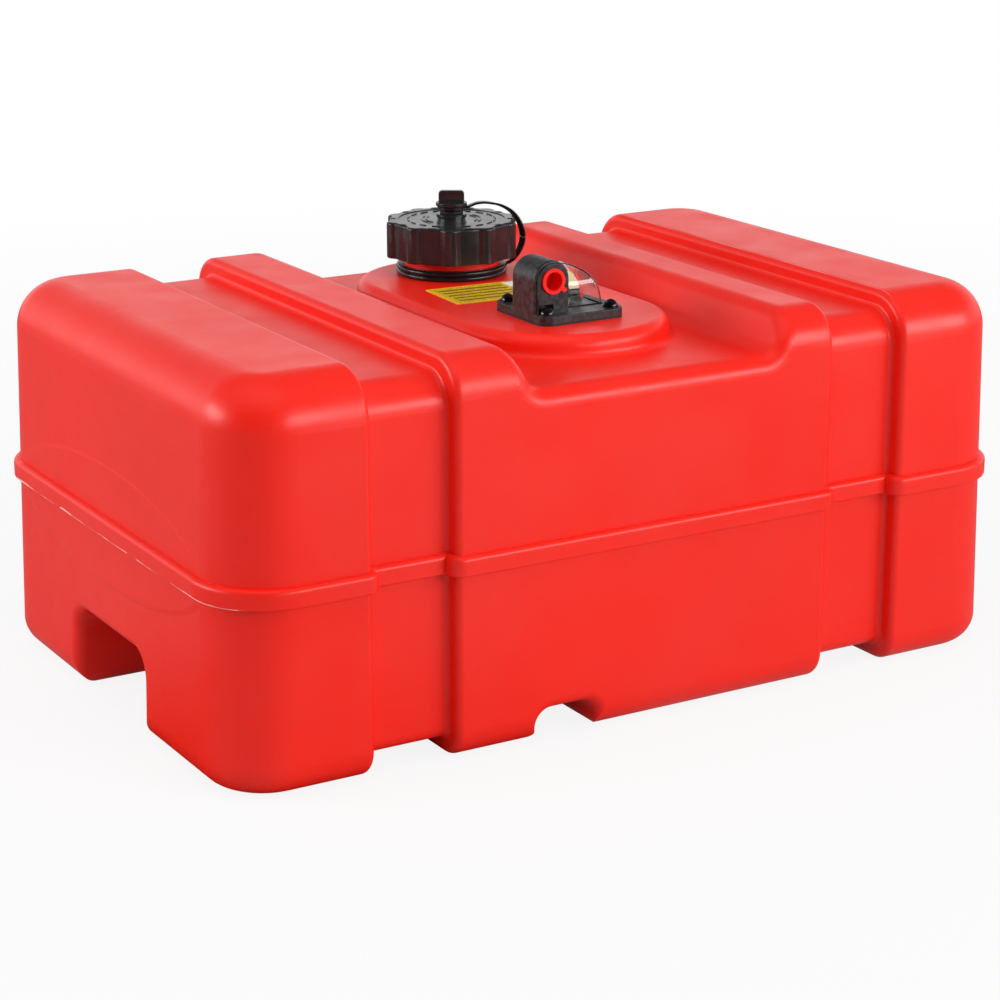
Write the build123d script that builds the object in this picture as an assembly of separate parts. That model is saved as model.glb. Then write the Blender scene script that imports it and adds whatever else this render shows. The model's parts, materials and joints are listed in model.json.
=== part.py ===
"""Portable marine fuel tank: a blow-moulded tank with filler, vent and fuel pickup.

Frame: millimetres, +Z up, X along the tank, origin on the floor under the middle of the tank.
Each function makes one sub-part and the table at the end writes each to its own STEP file.
"""
from build123d import *
from math import cos, radians, sin, sqrt
import os

# ---------------------------------------------------------------- tank body
tank_length = 596.0             # at the parting bead
tank_width = 382.0
block_height = 262.0
wall = 4.0
end_lean = 3.8                  # each end stands out this much more at the floor than at the bead
corner_radius = 44.0            # upright corners of the two end blocks
top_edge_radius = 32.0          # top edges of the end blocks
bottom_edge_radius = 20.0       # edges of the feet
past = 1.0                      # how far a cutter passes the face that it cuts

# strap grooves, one round each end of the middle block
groove_centre = 173.0
groove_width = 58.0
groove_depth_side = 11.5
groove_depth_top = 12.5
groove_depth_bottom = 12.5
groove_lip_radius = 5.0         # rounding where a block meets a groove
groove_root_radius = 3.5
groove_top_edge_radius = 21.0
groove_bottom_edge_radius = 9.0
groove_overlap = 20.0           # how far the waist reaches into the blocks beside it

# recess across the middle block, between two ridges
recess_depth = 27.0
recess_offset = 5.0             # middle of the recess from the middle of the tank
recess_top_width = 208.0
recess_run = 13.0               # each sloped wall of the recess takes this much of its width
recess_root_radius = 12.0
recess_rim_radius = 12.0
ridge_edge_margin = 1.0         # the ridge ends are rounded to this much less than the depth

# raised boss in the recess that carries the filler and the pickup
boss_height = 15.0
boss_left_margin = 19.0         # boss from the foot of the recess wall on its left
boss_right_margin = 11.0
boss_y = 4.0
boss_straight = 130.0
boss_taper = 4.0
boss_edge_radius = 8.0
boss_root_radius = 5.0

# notch across the underside of the middle block
notch_x = -61.0
notch_width = 46.0
notch_height = 22.0
notch_roof_radius = 12.0
notch_rim_radius = 8.0

# hand pocket under each end
pocket_margin = 10.5            # from the end of the pocket to the strap groove
pocket_width = 114.0
pocket_height = 58.0
pocket_roof_radius = 16.0
pocket_rim_radius = 8.0

# parting bead round the tank at half height
bead_height = 13.0
bead_reach = 4.5
bead_top_radius = 3.8
bead_foot_radius = 0.8

# ---------------------------------------------------------------- filler
filler_x = 12.0
filler_y = 89.0
neck_outer_radius = 35.0
neck_wall = 4.5
neck_height = 31.0
neck_lip_radius = 1.0
thread_pitch = 6.0
neck_thread_turns = 1.6
neck_thread_start = 17.5        # middle of the lowest turn above the boss
thread_reach = 4.0              # how far the neck's thread stands out
thread_clearance = 1.0          # between a crest and the wall that faces it
thread_root_width = 3.0
thread_crest_width = 1.9
thread_root = 0.5               # how far a thread is sunk in its wall

cap_wall = 4.6
cap_lobe_reach = 3.6
cap_lobes = 10
cap_lobe_round = 7.4            # each lobe is part of a circle of this radius
cap_valley_corner = 1.6
cap_height = 26.0
cap_edge_radius = 1.8
cap_deck_thickness = 5.25
cap_rim_width = 9.7             # flat rim round the dish
cap_dish_depth = 0.6
cap_thread_turns = 1.4
cap_lobe_direction = -120.6     # one lobe faces the front left corner
gasket_thickness = 2.0
gasket_margin = 0.2
gasket_bore_radius = 28.0
lid_clearance = 0.15            # between the gasket and the top of the neck

vent_seat_radius = 10.9
vent_seat_foot_radius = 10.1
vent_seat_height = 4.3
vent_seat_lip = 2.2
vent_bore_radius = 4.2
vent_collar_radius = 7.5        # collar under the cap round the vent
vent_collar_height = 4.0
vent_shank_radius = 3.3
vent_shank_length = 17.0
vent_thread_reach = 0.6
vent_thread_pitch = 2.0
vent_thread_width = 1.0
vent_thread_turns = 4.5
vent_root = 0.2                 # how far the thread and the tab are sunk in the screw
vent_passage_radius = 1.4
vent_passage_end = 4.0          # solid shank above the passage
vent_port_drop = 5.0            # side port below the shoulder
vent_shoulder_radius = 5.0
vent_shoulder_gap = 0.2         # the screw stops this far above its seat
vent_stack_height = 5.5         # seat to the foot of the screw's flange
vent_flange_radius = 11.2
vent_flange_height = 2.6
vent_tab_width = 18.4
vent_tab_height = 8.6
vent_tab_thickness = 4.6
vent_tab_corner = 2.6
vent_tab_rim = 1.6
vent_tab_dish = 0.5
vent_edge_radius = 0.6
vent_seal_height = 2.0
vent_seal_radius = 8.4
vent_seal_fit = 0.1
vent_tab_direction = -30.6      # the tab lies along this direction

# ---------------------------------------------------------------- cap keeper
keeper_fit = 0.2
keeper_bead_radius = 1.9
keeper_web = 2.9                # from the ring's bore to the middle of its beads
keeper_bead_pitch = 3.6
keeper_eye_width = 4.7
keeper_eye_height = 2.0
keeper_eye_fit = 0.5
keeper_eye_drop = 0.25          # below the screw's flange
keeper_strap_width = 8.0
keeper_strap_thickness = 1.7
keeper_strap_rise = 3.6         # top of the strap's bow above the eye
keeper_strap_gap = 2.3          # from the cap's lobes to the strap at its widest
keeper_end_gap = 0.05
keeper_strap_root = 1.0         # how far the strap's ends run on before they are cut to fit
keeper_strap_straight = 2.0     # flat length beside the eye
keeper_crown_lead = 4.0         # top of the bow this much nearer to the eye than half way
keeper_shoulder_inset = 3.5     # bow above the cap's edge: this far inside it
keeper_shoulder_rise = 3.4      # and this far above it
keeper_tuck_reach = 0.6         # strap under the cap's edge: this far outside it
keeper_tuck_drop = 1.4          # and this far below it
keeper_direction = -30.6        # the strap leaves the neck in this direction

# ---------------------------------------------------------------- fuel pickup
pickup_x = 7.0
pickup_y = -66.0
pickup_size = 66.0
pickup_corner_radius = 9.0
pickup_plate = 5.0
pickup_edge_radius = 0.8
pickup_gasket_thickness = 1.5
pickup_hole_radius = 23.5
spigot_gap = 0.5
spigot_wall = 2.0
spigot_depth = 5.0
screw_inset = 8.0               # screw axis from the edge of the flange
screw_head_radius = 5.4
screw_head_height = 5.0
screw_rim_height = 1.0          # flat rim round the foot of the head
screw_rim_width = 0.5
screw_shank_radius = 2.2
screw_length = 14.0
screw_fit = 0.15
screw_thread_fit = 0.05
screw_slot_width = 1.0
screw_slot_length = 4.4
screw_slot_depth = 1.3
pillar_wall = 3.8
pillar_height = 11.0

housing_width = 27.0
housing_height = 35.0
housing_depth = 32.0
housing_offset_x = -19.5        # middle of the housing from the middle of the flange
housing_offset_y = -6.0
housing_back_radius = 6.0
housing_edge_radius = 1.2
housing_pad_reach = 1.6
housing_pad_inset = 1.8
screw_relief = 0.6              # room round a screw head in the housing
port_radius = 7.4
port_seat_depth = 14.0
passage_radius = 4.5
passage_back_wall = 5.0
riser_radius = 2.6
plug_fit = 0.08
plug_gap = 0.1
plug_flange_radius = 8.6
plug_flange_height = 1.4
plug_wall = 1.0
plug_length = 12.0
plug_tab_length = 3.2
plug_tab_width = 3.0
plug_tab_direction = -38.0

tube_offset_x = -16.5           # dip tube from the middle of the flange
tube_radius = 4.0
tube_bore_radius = 2.6
tube_fit = 0.05
socket_wall = 2.0
socket_depth = 8.0
strainer_radius = 6.5
strainer_wall = 1.2
strainer_height = 26.0
strainer_floor_gap = 3.0
strainer_collar = 5.0
strainer_tube_gap = 2.0         # under the tube inside the strainer
strainer_slot_lift = 1.0        # lowest slots above the strainer's floor
strainer_slots = 3
strainer_slot_height = 3.0
strainer_slot_pitch = 5.5

# ---------------------------------------------------------------- fuel gauge
lens_flat = 3.5
lens_radius = 27.5
lens_wall = 1.6
lens_offset_y = 1.75            # middle of the lens from the middle of the flange
lens_depth = 33.5
lens_edge_radius = 3.0
lens_seal_thickness = 0.6
axle_height = 6.4               # gauge pin above the flange
axle_radius = 1.0
axle_fit = 0.05
axle_seat = 3.0                 # how deep the pin goes into the housing
post_gap = 0.2
post_thickness = 4.0
post_width = 8.0
hub_radius = 3.2
hub_web_overlap = 0.5           # how far the wheel's web is sunk in its hub
hub_length = 13.0
wheel_radius = 13.6
wheel_start = 2.2               # wheel's side from the arm's eye
wheel_width = 7.4
wheel_rim = 1.6
wheel_web = 2.0
wheel_sector = 140.0
scale_thickness = 0.5
arm_gap = 2.2                   # between the housing and the arm
arm_radius = 1.4
arm_elbow = 34.0
arm_bend = 4.0                  # bend radius of the wire
arm_eye_margin = 0.2            # the arm's eye is this much wider than the wire on each side
arm_lean = 6.3
arm_swing = 74.0                # from the empty stop to the full stop
slot_gap = 1.0
slot_half_length = 11.0
float_radius = 16.0
float_length = 28.0
float_side_gap = 3.0            # leaves room for the wire's bend
float_edge_radius = 3.0
float_bore_fit = 0.1
float_floor_gap = 8.0
clip_radius = 4.0
clip_thickness = 1.5
clip_fit = 0.05
arm_tip = 2.5

# ---------------------------------------------------------------- sticker
label_length = 74.0
label_width = 52.0
label_corner_radius = 2.0
label_x = -1.0
label_y = 14.0
label_turn = -3.0
label_thickness = 0.3
print_thickness = 0.1
print_bars = 5
print_bar_length = 50.0
print_bar_width = 3.0
print_bar_pitch = 8.0
print_bar_offset = -6.0
panel_length = 12.0
panel_width = 14.0
panel_offset_x = 28.0
panel_offset_y = 16.0

# ---------------------------------------------------------------- worked-out places
half_length = tank_length / 2
half_width = tank_width / 2
block_inner = groove_centre + groove_width / 2       # inner face of each end block
middle_half = groove_centre - groove_width / 2       # half the middle block's length
recess_floor = block_height - recess_depth
recess_floor_width = recess_top_width - 2 * recess_run
boss_radius = (recess_floor_width - boss_left_margin - boss_right_margin) / 2
boss_x = recess_offset + (boss_left_margin - boss_right_margin) / 2
pocket_depth = half_length - block_inner - pocket_margin
boss_top = recess_floor + boss_height
boss_ceiling = boss_top - wall
bead_level = block_height / 2

neck_top = boss_top + neck_height
neck_bore_radius = neck_outer_radius - neck_wall
cap_bore_radius = neck_outer_radius + thread_reach + thread_clearance
cap_valley_radius = cap_bore_radius + cap_wall
cap_lobe_radius = cap_valley_radius + cap_lobe_reach
cap_dish_radius = cap_lobe_radius - cap_rim_width
cap_inside = neck_top + lid_clearance + gasket_thickness
cap_dish_level = cap_inside + cap_deck_thickness
cap_deck = cap_dish_level + cap_dish_depth
cap_foot = cap_deck - cap_height
vent_seat_top = cap_dish_level + vent_seat_height
vent_flange_foot = vent_seat_top + vent_stack_height
vent_flange_top = vent_flange_foot + vent_flange_height
eye_foot = vent_flange_foot - keeper_eye_drop - keeper_eye_height
eye_bore_radius = vent_shoulder_radius + keeper_eye_fit
eye_radius = eye_bore_radius + keeper_eye_width
keeper_bore_radius = neck_outer_radius + keeper_fit
keeper_radius = keeper_bore_radius + keeper_web + keeper_bead_radius
keeper_top_bead = boss_top + keeper_bead_radius + keeper_bead_pitch

flange_foot = boss_top + pickup_gasket_thickness
flange_top = flange_foot + pickup_plate
screw_offset = pickup_size / 2 - screw_inset
housing_middle = pickup_x + housing_offset_x
housing_right = housing_middle + housing_width / 2
housing_front = pickup_y + housing_offset_y - housing_depth / 2
housing_back = housing_front + housing_depth
pad_front = housing_front - housing_pad_reach
port_level = flange_top + housing_height - housing_width / 2
tube_x = pickup_x + tube_offset_x

lens_foot = flange_top + lens_seal_thickness
lens_front = pickup_y + lens_offset_y - lens_depth / 2
lens_back = lens_front + lens_depth
lens_middle = (lens_front + lens_back) / 2
axle_y = pickup_y + lens_offset_y
axle_level = flange_top + axle_height
arm_x = housing_right + arm_gap + arm_radius
arm_eye_half = arm_radius + arm_eye_margin
hub_left = arm_x + arm_eye_half
post_left = hub_left + hub_length + post_gap
post_right = post_left + post_thickness
wheel_left = hub_left + wheel_start

half_swing = radians(arm_swing / 2)
elbow_y = axle_y - arm_elbow * sin(half_swing)
elbow_z = axle_level - arm_elbow * cos(half_swing)
float_z = wall + float_floor_gap + float_radius
float_y = elbow_y + (elbow_z - float_z) * sin(radians(arm_lean)) / cos(radians(arm_lean))
float_left = arm_x + arm_radius + float_side_gap
float_right = float_left + float_length
clip_right = float_right + clip_thickness


def put(shape, x=0.0, y=0.0, z=0.0):
    """Place a shape at a point without turning it."""
    return Pos(x, y, z) * shape


def rod(radius, length, x=0.0, y=0.0, z=0.0):
    """Upright cylinder standing on z."""
    return put(Cylinder(radius, length, align=(Align.CENTER, Align.CENTER, Align.MIN)), x, y, z)


def ring(outer, inner, height, x=0.0, y=0.0, z=0.0):
    """Upright ring standing on z."""
    return rod(outer, height, x, y, z) - rod(inner, height, x, y, z)


def slab(x_low, x_high, y_low, y_high, z_low, z_high):
    """Box between six limits."""
    box = Box(x_high - x_low, y_high - y_low, z_high - z_low)
    return put(box, (x_low + x_high) / 2, (y_low + y_high) / 2, (z_low + z_high) / 2)


def bar(start, end, radius):
    """Round bar from one point to another."""
    way = Vector(*end) - Vector(*start)
    plane = Plane(origin=start, z_dir=way)
    return plane * Cylinder(radius, way.length, align=(Align.CENTER, Align.CENTER, Align.MIN))


def edges_at(solid, x=None, y=None, z=None):
    """Edges whose middle lies at the given coordinates; y counts on both sides."""
    found = []
    for edge in solid.edges():
        middle = edge.center()
        if x is not None and abs(middle.X - x) > 0.01:
            continue
        if y is not None and abs(abs(middle.Y) - y) > 0.01:
            continue
        if z is not None and abs(middle.Z - z) > 0.01:
            continue
        found.append(edge)
    return ShapeList(found)


def face_at(solid, x):
    """Flat face that lies at x."""
    return sorted(solid.faces().filter_by(Axis.X), key=lambda face: abs(face.center().X - x))[0]


def level_edges(solid, z):
    """Edges that lie wholly at one level."""
    return ShapeList([edge for edge in solid.edges()
                      if abs(edge.bounding_box().min.Z - z) < 0.01
                      and abs(edge.bounding_box().max.Z - z) < 0.01])


def both_ends(shape):
    """A shape at the right end and its mirror image at the left end."""
    return [shape, mirror(shape, about=Plane.YZ)]


def ridge(inner, outer, root_width, crest_width, pitch, turns):
    """Helical ridge round the Z axis from z = 0; it may stand outward or inward from inner."""
    path = Helix(pitch, pitch * turns, inner)
    reach = outer - inner
    plane = Plane(origin=path @ 0, x_dir=(1, 0, 0), z_dir=path % 0)
    profile = make_face(Polyline((0, -root_width / 2), (reach, -crest_width / 2),
                                 (reach, crest_width / 2), (0, root_width / 2), close=True))
    return sweep(plane * profile, path, is_frenet=True)


# ---------------------------------------------------------------- tank
def end_block(skin):
    """Right end block; with skin set to the wall it is the hollow inside."""
    inner = block_inner + skin
    side = half_width - skin
    foot = skin
    top = block_height - skin
    outer_foot = end_at(foot) - skin
    outer_top = end_at(top) - skin
    outline = make_face(Polyline((inner, foot), (outer_foot, foot), (outer_top, top), (inner, top), close=True))
    block = extrude(Plane.XZ * outline, amount=side, both=True)
    block = fillet(edges_at(block, x=(outer_foot + outer_top) / 2, y=side), corner_radius - skin)
    for level, radius in ((top, top_edge_radius), (foot, bottom_edge_radius)):
        rim = [edge for edge in level_edges(block, level) if edge.center().X > inner + 1]
        block = fillet(rim, radius - skin)
    if skin:
        return block - hand_pocket(skin)
    block = fillet(face_at(block, inner).outer_wire().edges(), groove_lip_radius)
    return block & pocketed_slab()


def end_at(level):
    """Where the outer face of the right end block stands at a level."""
    return half_length + end_lean * (bead_level - level) / bead_level


def hand_pocket(skin):
    """Space of the hand pocket under the right end."""
    inner = half_length - pocket_depth - skin
    half = pocket_width / 2 + skin
    roof = pocket_height + skin
    space = slab(inner, end_at(0) + wall, -half, half, -wall, roof)
    corners = edges_at(space, y=half, z=roof) + edges_at(space, x=inner, y=half)
    corners += edges_at(space, x=inner, z=roof)
    return fillet(corners, pocket_roof_radius + skin)


def pocketed_slab():
    """Square end block with the hand pocket and its rounded rim."""
    outline = make_face(Polyline((block_inner, 0), (end_at(0), 0), (end_at(block_height), block_height),
                                 (block_inner, block_height), close=True))
    block = extrude(Plane.XZ * outline, amount=half_width, both=True) - hand_pocket(0)
    half = pocket_width / 2 + 0.01
    face = end_at(pocket_height) - 0.01
    rim = [edge for edge in block.edges()
           if abs(edge.center().Y) < half
           and (edge.bounding_box().min.X > face or edge.bounding_box().max.Z < 0.01)
           and edge.center().Z < pocket_height + 0.01
           and edge.center().X > block_inner + 0.01]
    return fillet(rim, pocket_rim_radius)


def groove_bridge(skin):
    """Waist of the tank under the right strap groove; skin as for the end block."""
    reach = groove_width / 2 + groove_overlap
    side = half_width - groove_depth_side - skin
    foot = groove_depth_bottom + skin
    top = block_height - groove_depth_top - skin
    waist = slab(groove_centre - reach, groove_centre + reach, -side, side, foot, top)
    waist = fillet(edges_at(waist, y=side, z=top), groove_top_edge_radius - skin)
    waist = fillet(edges_at(waist, y=side, z=foot), groove_bottom_edge_radius - skin)
    return waist - hand_pocket(skin)


def middle_block(skin):
    """Middle block with the recess across its top; skin as for the end block."""
    end = middle_half - skin
    side = half_width - skin
    top = block_height - skin
    floor = recess_floor - skin
    foot = skin
    slope = (recess_top_width - recess_floor_width) / 2 / recess_depth
    spread = skin * (sqrt(1 + slope ** 2) - slope)
    top_half = recess_top_width / 2 + spread
    floor_half = recess_floor_width / 2 + spread
    outline = make_face(Polyline(
        (-end, foot), (end, foot), (end, top),
        (recess_offset + top_half, top), (recess_offset + floor_half, floor),
        (recess_offset - floor_half, floor), (recess_offset - top_half, top), (-end, top),
        close=True))
    block = extrude(Plane.XZ * outline, amount=side, both=True)
    block = fillet(edges_at(block, y=side, z=top), recess_depth - ridge_edge_margin - skin)
    block = fillet(edges_at(block, y=side, z=foot), bottom_edge_radius - skin)
    block = fillet(edges_at(block, y=0, z=floor), recess_root_radius + skin)
    block = fillet(recess_rim(block, end, floor), recess_rim_radius - skin)
    if skin:
        return block - notch_tunnel(skin)
    for x in (end, -end):
        block = fillet(face_at(block, x).outer_wire().edges(), groove_lip_radius)
    return block & notched_slab()


def recess_rim(block, end, floor):
    """Edges that bound the recess: each belongs to one face of the recess only."""
    seen = {}
    for face in block.faces():
        box = face.bounding_box()
        inside = box.min.X > -end + 1 and box.max.X < end - 1 and box.min.Z > floor - 0.1
        if inside and box.size.Y > half_width:
            for edge in face.edges():
                middle = edge.center()
                key = (round(middle.X, 3), round(middle.Y, 3), round(middle.Z, 3), round(edge.length, 3))
                seen.setdefault(key, []).append(edge)
    return [edges[0] for edges in seen.values() if len(edges) == 1]


def notch_tunnel(skin):
    """Space of the notch under the middle block."""
    half = notch_width / 2 + skin
    roof = notch_height + skin
    tunnel = slab(notch_x - half, notch_x + half, -half_width - wall, half_width + wall, -wall, roof)
    return fillet(edges_at(tunnel, y=0, z=roof), notch_roof_radius + skin)


def notched_slab():
    """Square middle block with the notch and its rounded rims."""
    block = slab(-middle_half, middle_half, -half_width, half_width, 0, block_height) - notch_tunnel(0)
    reach = notch_width / 2 + 0.01
    rim = [edge for edge in block.edges()
           if abs(edge.center().X - notch_x) < reach
           and edge.center().Z < notch_height + 0.01
           and (abs(abs(edge.center().Y) - half_width) < 0.01 or edge.bounding_box().max.Z < 0.01)]
    return fillet(rim, notch_rim_radius)


def filler_boss(skin):
    """Raised boss with round ends along Y, tapered to its top."""
    radius = boss_radius - skin
    plan = SlotOverall(boss_straight + 2 * radius, 2 * radius, rotation=90)
    foot = recess_floor - wall - skin
    boss = extrude(Pos(boss_x, boss_y, foot) * plan, amount=boss_top - skin - foot, taper=boss_taper)
    if skin:
        return boss
    return fillet(boss.edges().group_by(Axis.Z)[-1], boss_edge_radius)


def tank_body(skin):
    """Tank without its neck; with skin set to the wall it is the hollow inside."""
    body = middle_block(skin)
    for waist in both_ends(groove_bridge(skin)):
        body += waist
    for block in both_ends(end_block(skin)):
        body += block
    return body + filler_boss(skin)


def round_roots(body):
    """Round the inner corners of the strap grooves and the root of the boss."""
    for x in (middle_half, -middle_half, block_inner, -block_inner):
        body = fillet(face_at(body, x).inner_wires()[0].edges(), groove_root_radius)
    reach = boss_straight / 2 + boss_radius + 1
    root = [edge for edge in level_edges(body, recess_floor)
            if edge.length > boss_radius and abs(edge.center().X - boss_x) < boss_radius + 1
            and abs(edge.center().Y - boss_y) < reach]
    return fillet(root, boss_root_radius)


def parting_bead():
    """Bead round the tank, following the blocks and the grooves."""
    plan = Rectangle(tank_length, tank_width)
    plan = fillet(plan.vertices(), corner_radius)
    for x in (groove_centre, -groove_centre):
        for side in (1, -1):
            plan -= Pos(x, side * half_width) * Rectangle(groove_width, 2 * groove_depth_side)
    reach = groove_width / 2
    lips = plan.vertices().filter_by(lambda v: abs(abs(v.Y) - half_width) < 0.01
                                     and abs(abs(abs(v.X) - groove_centre) - reach) < 0.01)
    plan = fillet(lips, groove_lip_radius)
    roots = plan.vertices().filter_by(lambda v: abs(abs(v.Y) - half_width + groove_depth_side) < 0.01)
    plan = fillet(roots, groove_root_radius)
    outer = offset(plan, amount=bead_reach, kind=Kind.ARC)
    inner = offset(plan, amount=-wall / 2, kind=Kind.ARC)
    foot = bead_level - bead_height / 2
    bead = extrude(Pos(0, 0, foot) * outer, amount=bead_height)
    bead = fillet(bead.edges().group_by(Axis.Z)[-1], bead_top_radius)
    bead = fillet(bead.edges().group_by(Axis.Z)[0], bead_foot_radius)
    return bead - extrude(Pos(0, 0, foot) * inner, amount=bead_height)


def screw_places():
    """Axes of the four flange screws."""
    for step_x in (-1, 1):
        for step_y in (-1, 1):
            yield pickup_x + step_x * screw_offset, pickup_y + step_y * screw_offset


def tank_shell():
    """Blow-moulded tank with neck, screw pillars and pickup hole."""
    shell = round_roots(tank_body(0)) + parting_bead()
    neck = rod(neck_outer_radius, neck_height + wall / 2, filler_x, filler_y, boss_top - wall / 2)
    neck = fillet(level_edges(neck, neck_top), neck_lip_radius)
    thread = ridge(neck_outer_radius - thread_root, neck_outer_radius + thread_reach,
                   thread_root_width, thread_crest_width, thread_pitch, neck_thread_turns)
    neck += put(thread, filler_x, filler_y, boss_top + neck_thread_start)
    shell = shell + neck - tank_body(wall)
    pillar_foot = boss_ceiling - pillar_height
    pillar_radius = screw_shank_radius + pillar_wall
    for x, y in screw_places():
        shell += rod(pillar_radius, pillar_height + wall / 2, x, y, pillar_foot)
    for x, y in screw_places():
        depth = boss_top - flange_top + screw_length + past
        shell -= rod(screw_shank_radius + screw_thread_fit, depth, x, y, boss_top - depth)
    shell -= rod(neck_bore_radius, neck_height + 2 * wall, filler_x, filler_y, boss_top - 2 * wall)
    return shell - rod(pickup_hole_radius, 2 * wall, pickup_x, pickup_y, boss_top - 1.5 * wall)


# ---------------------------------------------------------------- filler cap and vent
def cap_plan():
    """Outline of the cap with its grip lobes."""
    plan = Circle(cap_valley_radius)
    for index in range(cap_lobes):
        turn = cap_lobe_direction + 360 / cap_lobes * index
        plan += Rot(0, 0, turn) * Pos(cap_lobe_radius - cap_lobe_round, 0) * Circle(cap_lobe_round)
    return fillet(plan.vertices(), cap_valley_corner)


def filler_cap():
    """Screw cap with a shallow dish in its top, vent seat and inner thread."""
    cap = extrude(Pos(0, 0, cap_foot) * cap_plan(), amount=cap_height)
    cap = fillet(cap.edges().group_by(Axis.Z)[-1], cap_edge_radius)
    cap = fillet(cap.edges().group_by(Axis.Z)[0], cap_edge_radius / 2)
    cap -= rod(cap_dish_radius, cap_dish_depth + past, z=cap_dish_level)
    cap -= rod(cap_bore_radius, cap_inside - cap_foot + past, z=cap_foot - past)
    seat_foot = vent_seat_height - vent_seat_lip
    cap += rod(vent_seat_foot_radius, seat_foot, z=cap_dish_level)
    cap += rod(vent_seat_radius, vent_seat_lip, z=cap_dish_level + seat_foot)
    cap += rod(vent_collar_radius, vent_collar_height, z=cap_inside - vent_collar_height)
    thread = ridge(cap_bore_radius + thread_root, neck_outer_radius + thread_clearance,
                   thread_root_width, thread_crest_width, thread_pitch, cap_thread_turns)
    cap += put(thread, z=boss_top + neck_thread_start - thread_pitch / 2)
    cap -= rod(vent_bore_radius, cap_height + vent_seat_height, z=cap_foot)
    return put(cap, filler_x, filler_y)


def cap_gasket():
    """Flat seal that stays under the cap."""
    return ring(cap_bore_radius - gasket_margin, gasket_bore_radius, gasket_thickness,
                filler_x, filler_y, cap_inside - gasket_thickness)


def vent_tab():
    """Grip tab of the vent screw, dished on both faces, standing on z = 0 along X."""
    plate = Rectangle(vent_tab_width, vent_tab_height, align=(Align.CENTER, Align.MIN))
    corners = plate.vertices().filter_by(lambda v: v.Y > vent_tab_height / 2)
    plate = fillet(corners, vent_tab_corner)
    tab = extrude(Plane.XZ * plate, amount=vent_tab_thickness / 2, both=True)
    sides = [edge for edge in tab.edges()
             if abs(abs(edge.center().Y) - vent_tab_thickness / 2) < 0.01 and edge.center().Z > 0.01]
    tab = fillet(sides, vent_edge_radius)
    dish = Rectangle(vent_tab_width - 2 * vent_tab_rim, vent_tab_height - vent_tab_rim,
                     align=(Align.CENTER, Align.MIN))
    dish = fillet(dish.vertices().filter_by(lambda v: v.Y > vent_tab_height / 2), vent_tab_corner / 2)
    dish = extrude(Plane.XZ * dish, amount=vent_tab_dish)
    for y in (-vent_tab_thickness / 2 + vent_tab_dish, vent_tab_thickness / 2):
        tab -= put(dish, y=y)
    return tab


def vent_screw():
    """Vent screw: threaded hollow shank, shoulder, flange and grip tab."""
    shoulder_foot = vent_seat_top + vent_shoulder_gap
    shank_foot = shoulder_foot - vent_shank_length
    screw = rod(vent_flange_radius, vent_flange_height, z=vent_flange_foot)
    screw = fillet(level_edges(screw, vent_flange_foot) + level_edges(screw, vent_flange_top),
                   vent_edge_radius)
    screw += rod(vent_shoulder_radius, vent_stack_height, z=shoulder_foot)
    screw += rod(vent_shank_radius, vent_shank_length + vent_root, z=shank_foot)
    thread = ridge(vent_shank_radius - vent_root, vent_shank_radius + vent_thread_reach,
                   vent_thread_width, vent_thread_width / 2, vent_thread_pitch, vent_thread_turns)
    screw += put(thread, z=shank_foot + vent_thread_pitch)
    screw += Rot(0, 0, vent_tab_direction) * put(vent_tab(), z=vent_flange_top - vent_root)
    passage = rod(vent_passage_radius, vent_shank_length - vent_passage_end + past, z=shank_foot - past)
    port = shoulder_foot - vent_port_drop
    reach = vent_shank_radius + vent_thread_reach + past
    crossing = bar((-reach, 0, port), (reach, 0, port), vent_passage_radius / 2)
    return put(screw - passage - crossing, filler_x, filler_y)


def vent_seal():
    """Ring seal between the vent screw's shoulder and its seat."""
    seal = ring(vent_seal_radius, vent_shoulder_radius + vent_seal_fit, vent_seal_height)
    seal = fillet(seal.edges().filter_by(GeomType.CIRCLE), vent_seal_height / 4)
    return put(seal, filler_x, filler_y, vent_seat_top + vent_shoulder_gap / 2)


# ---------------------------------------------------------------- cap keeper
def tether_ring():
    """Ring of two beads, snapped over the thread onto the neck's root."""
    height = keeper_top_bead + keeper_bead_radius - boss_top
    web = ring(keeper_bore_radius + keeper_web, keeper_bore_radius, height, z=boss_top)
    for level in (boss_top + keeper_bead_radius, keeper_top_bead):
        web += put(Torus(keeper_bore_radius + keeper_web, keeper_bead_radius), z=level)
    web -= rod(keeper_bore_radius, height, z=boss_top)
    return put(web, filler_x, filler_y)


def tether_eye():
    """Eye of the keeper, loose round the vent screw's shoulder."""
    return ring(eye_radius, eye_bore_radius, keeper_eye_height, filler_x, filler_y, eye_foot)


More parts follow.
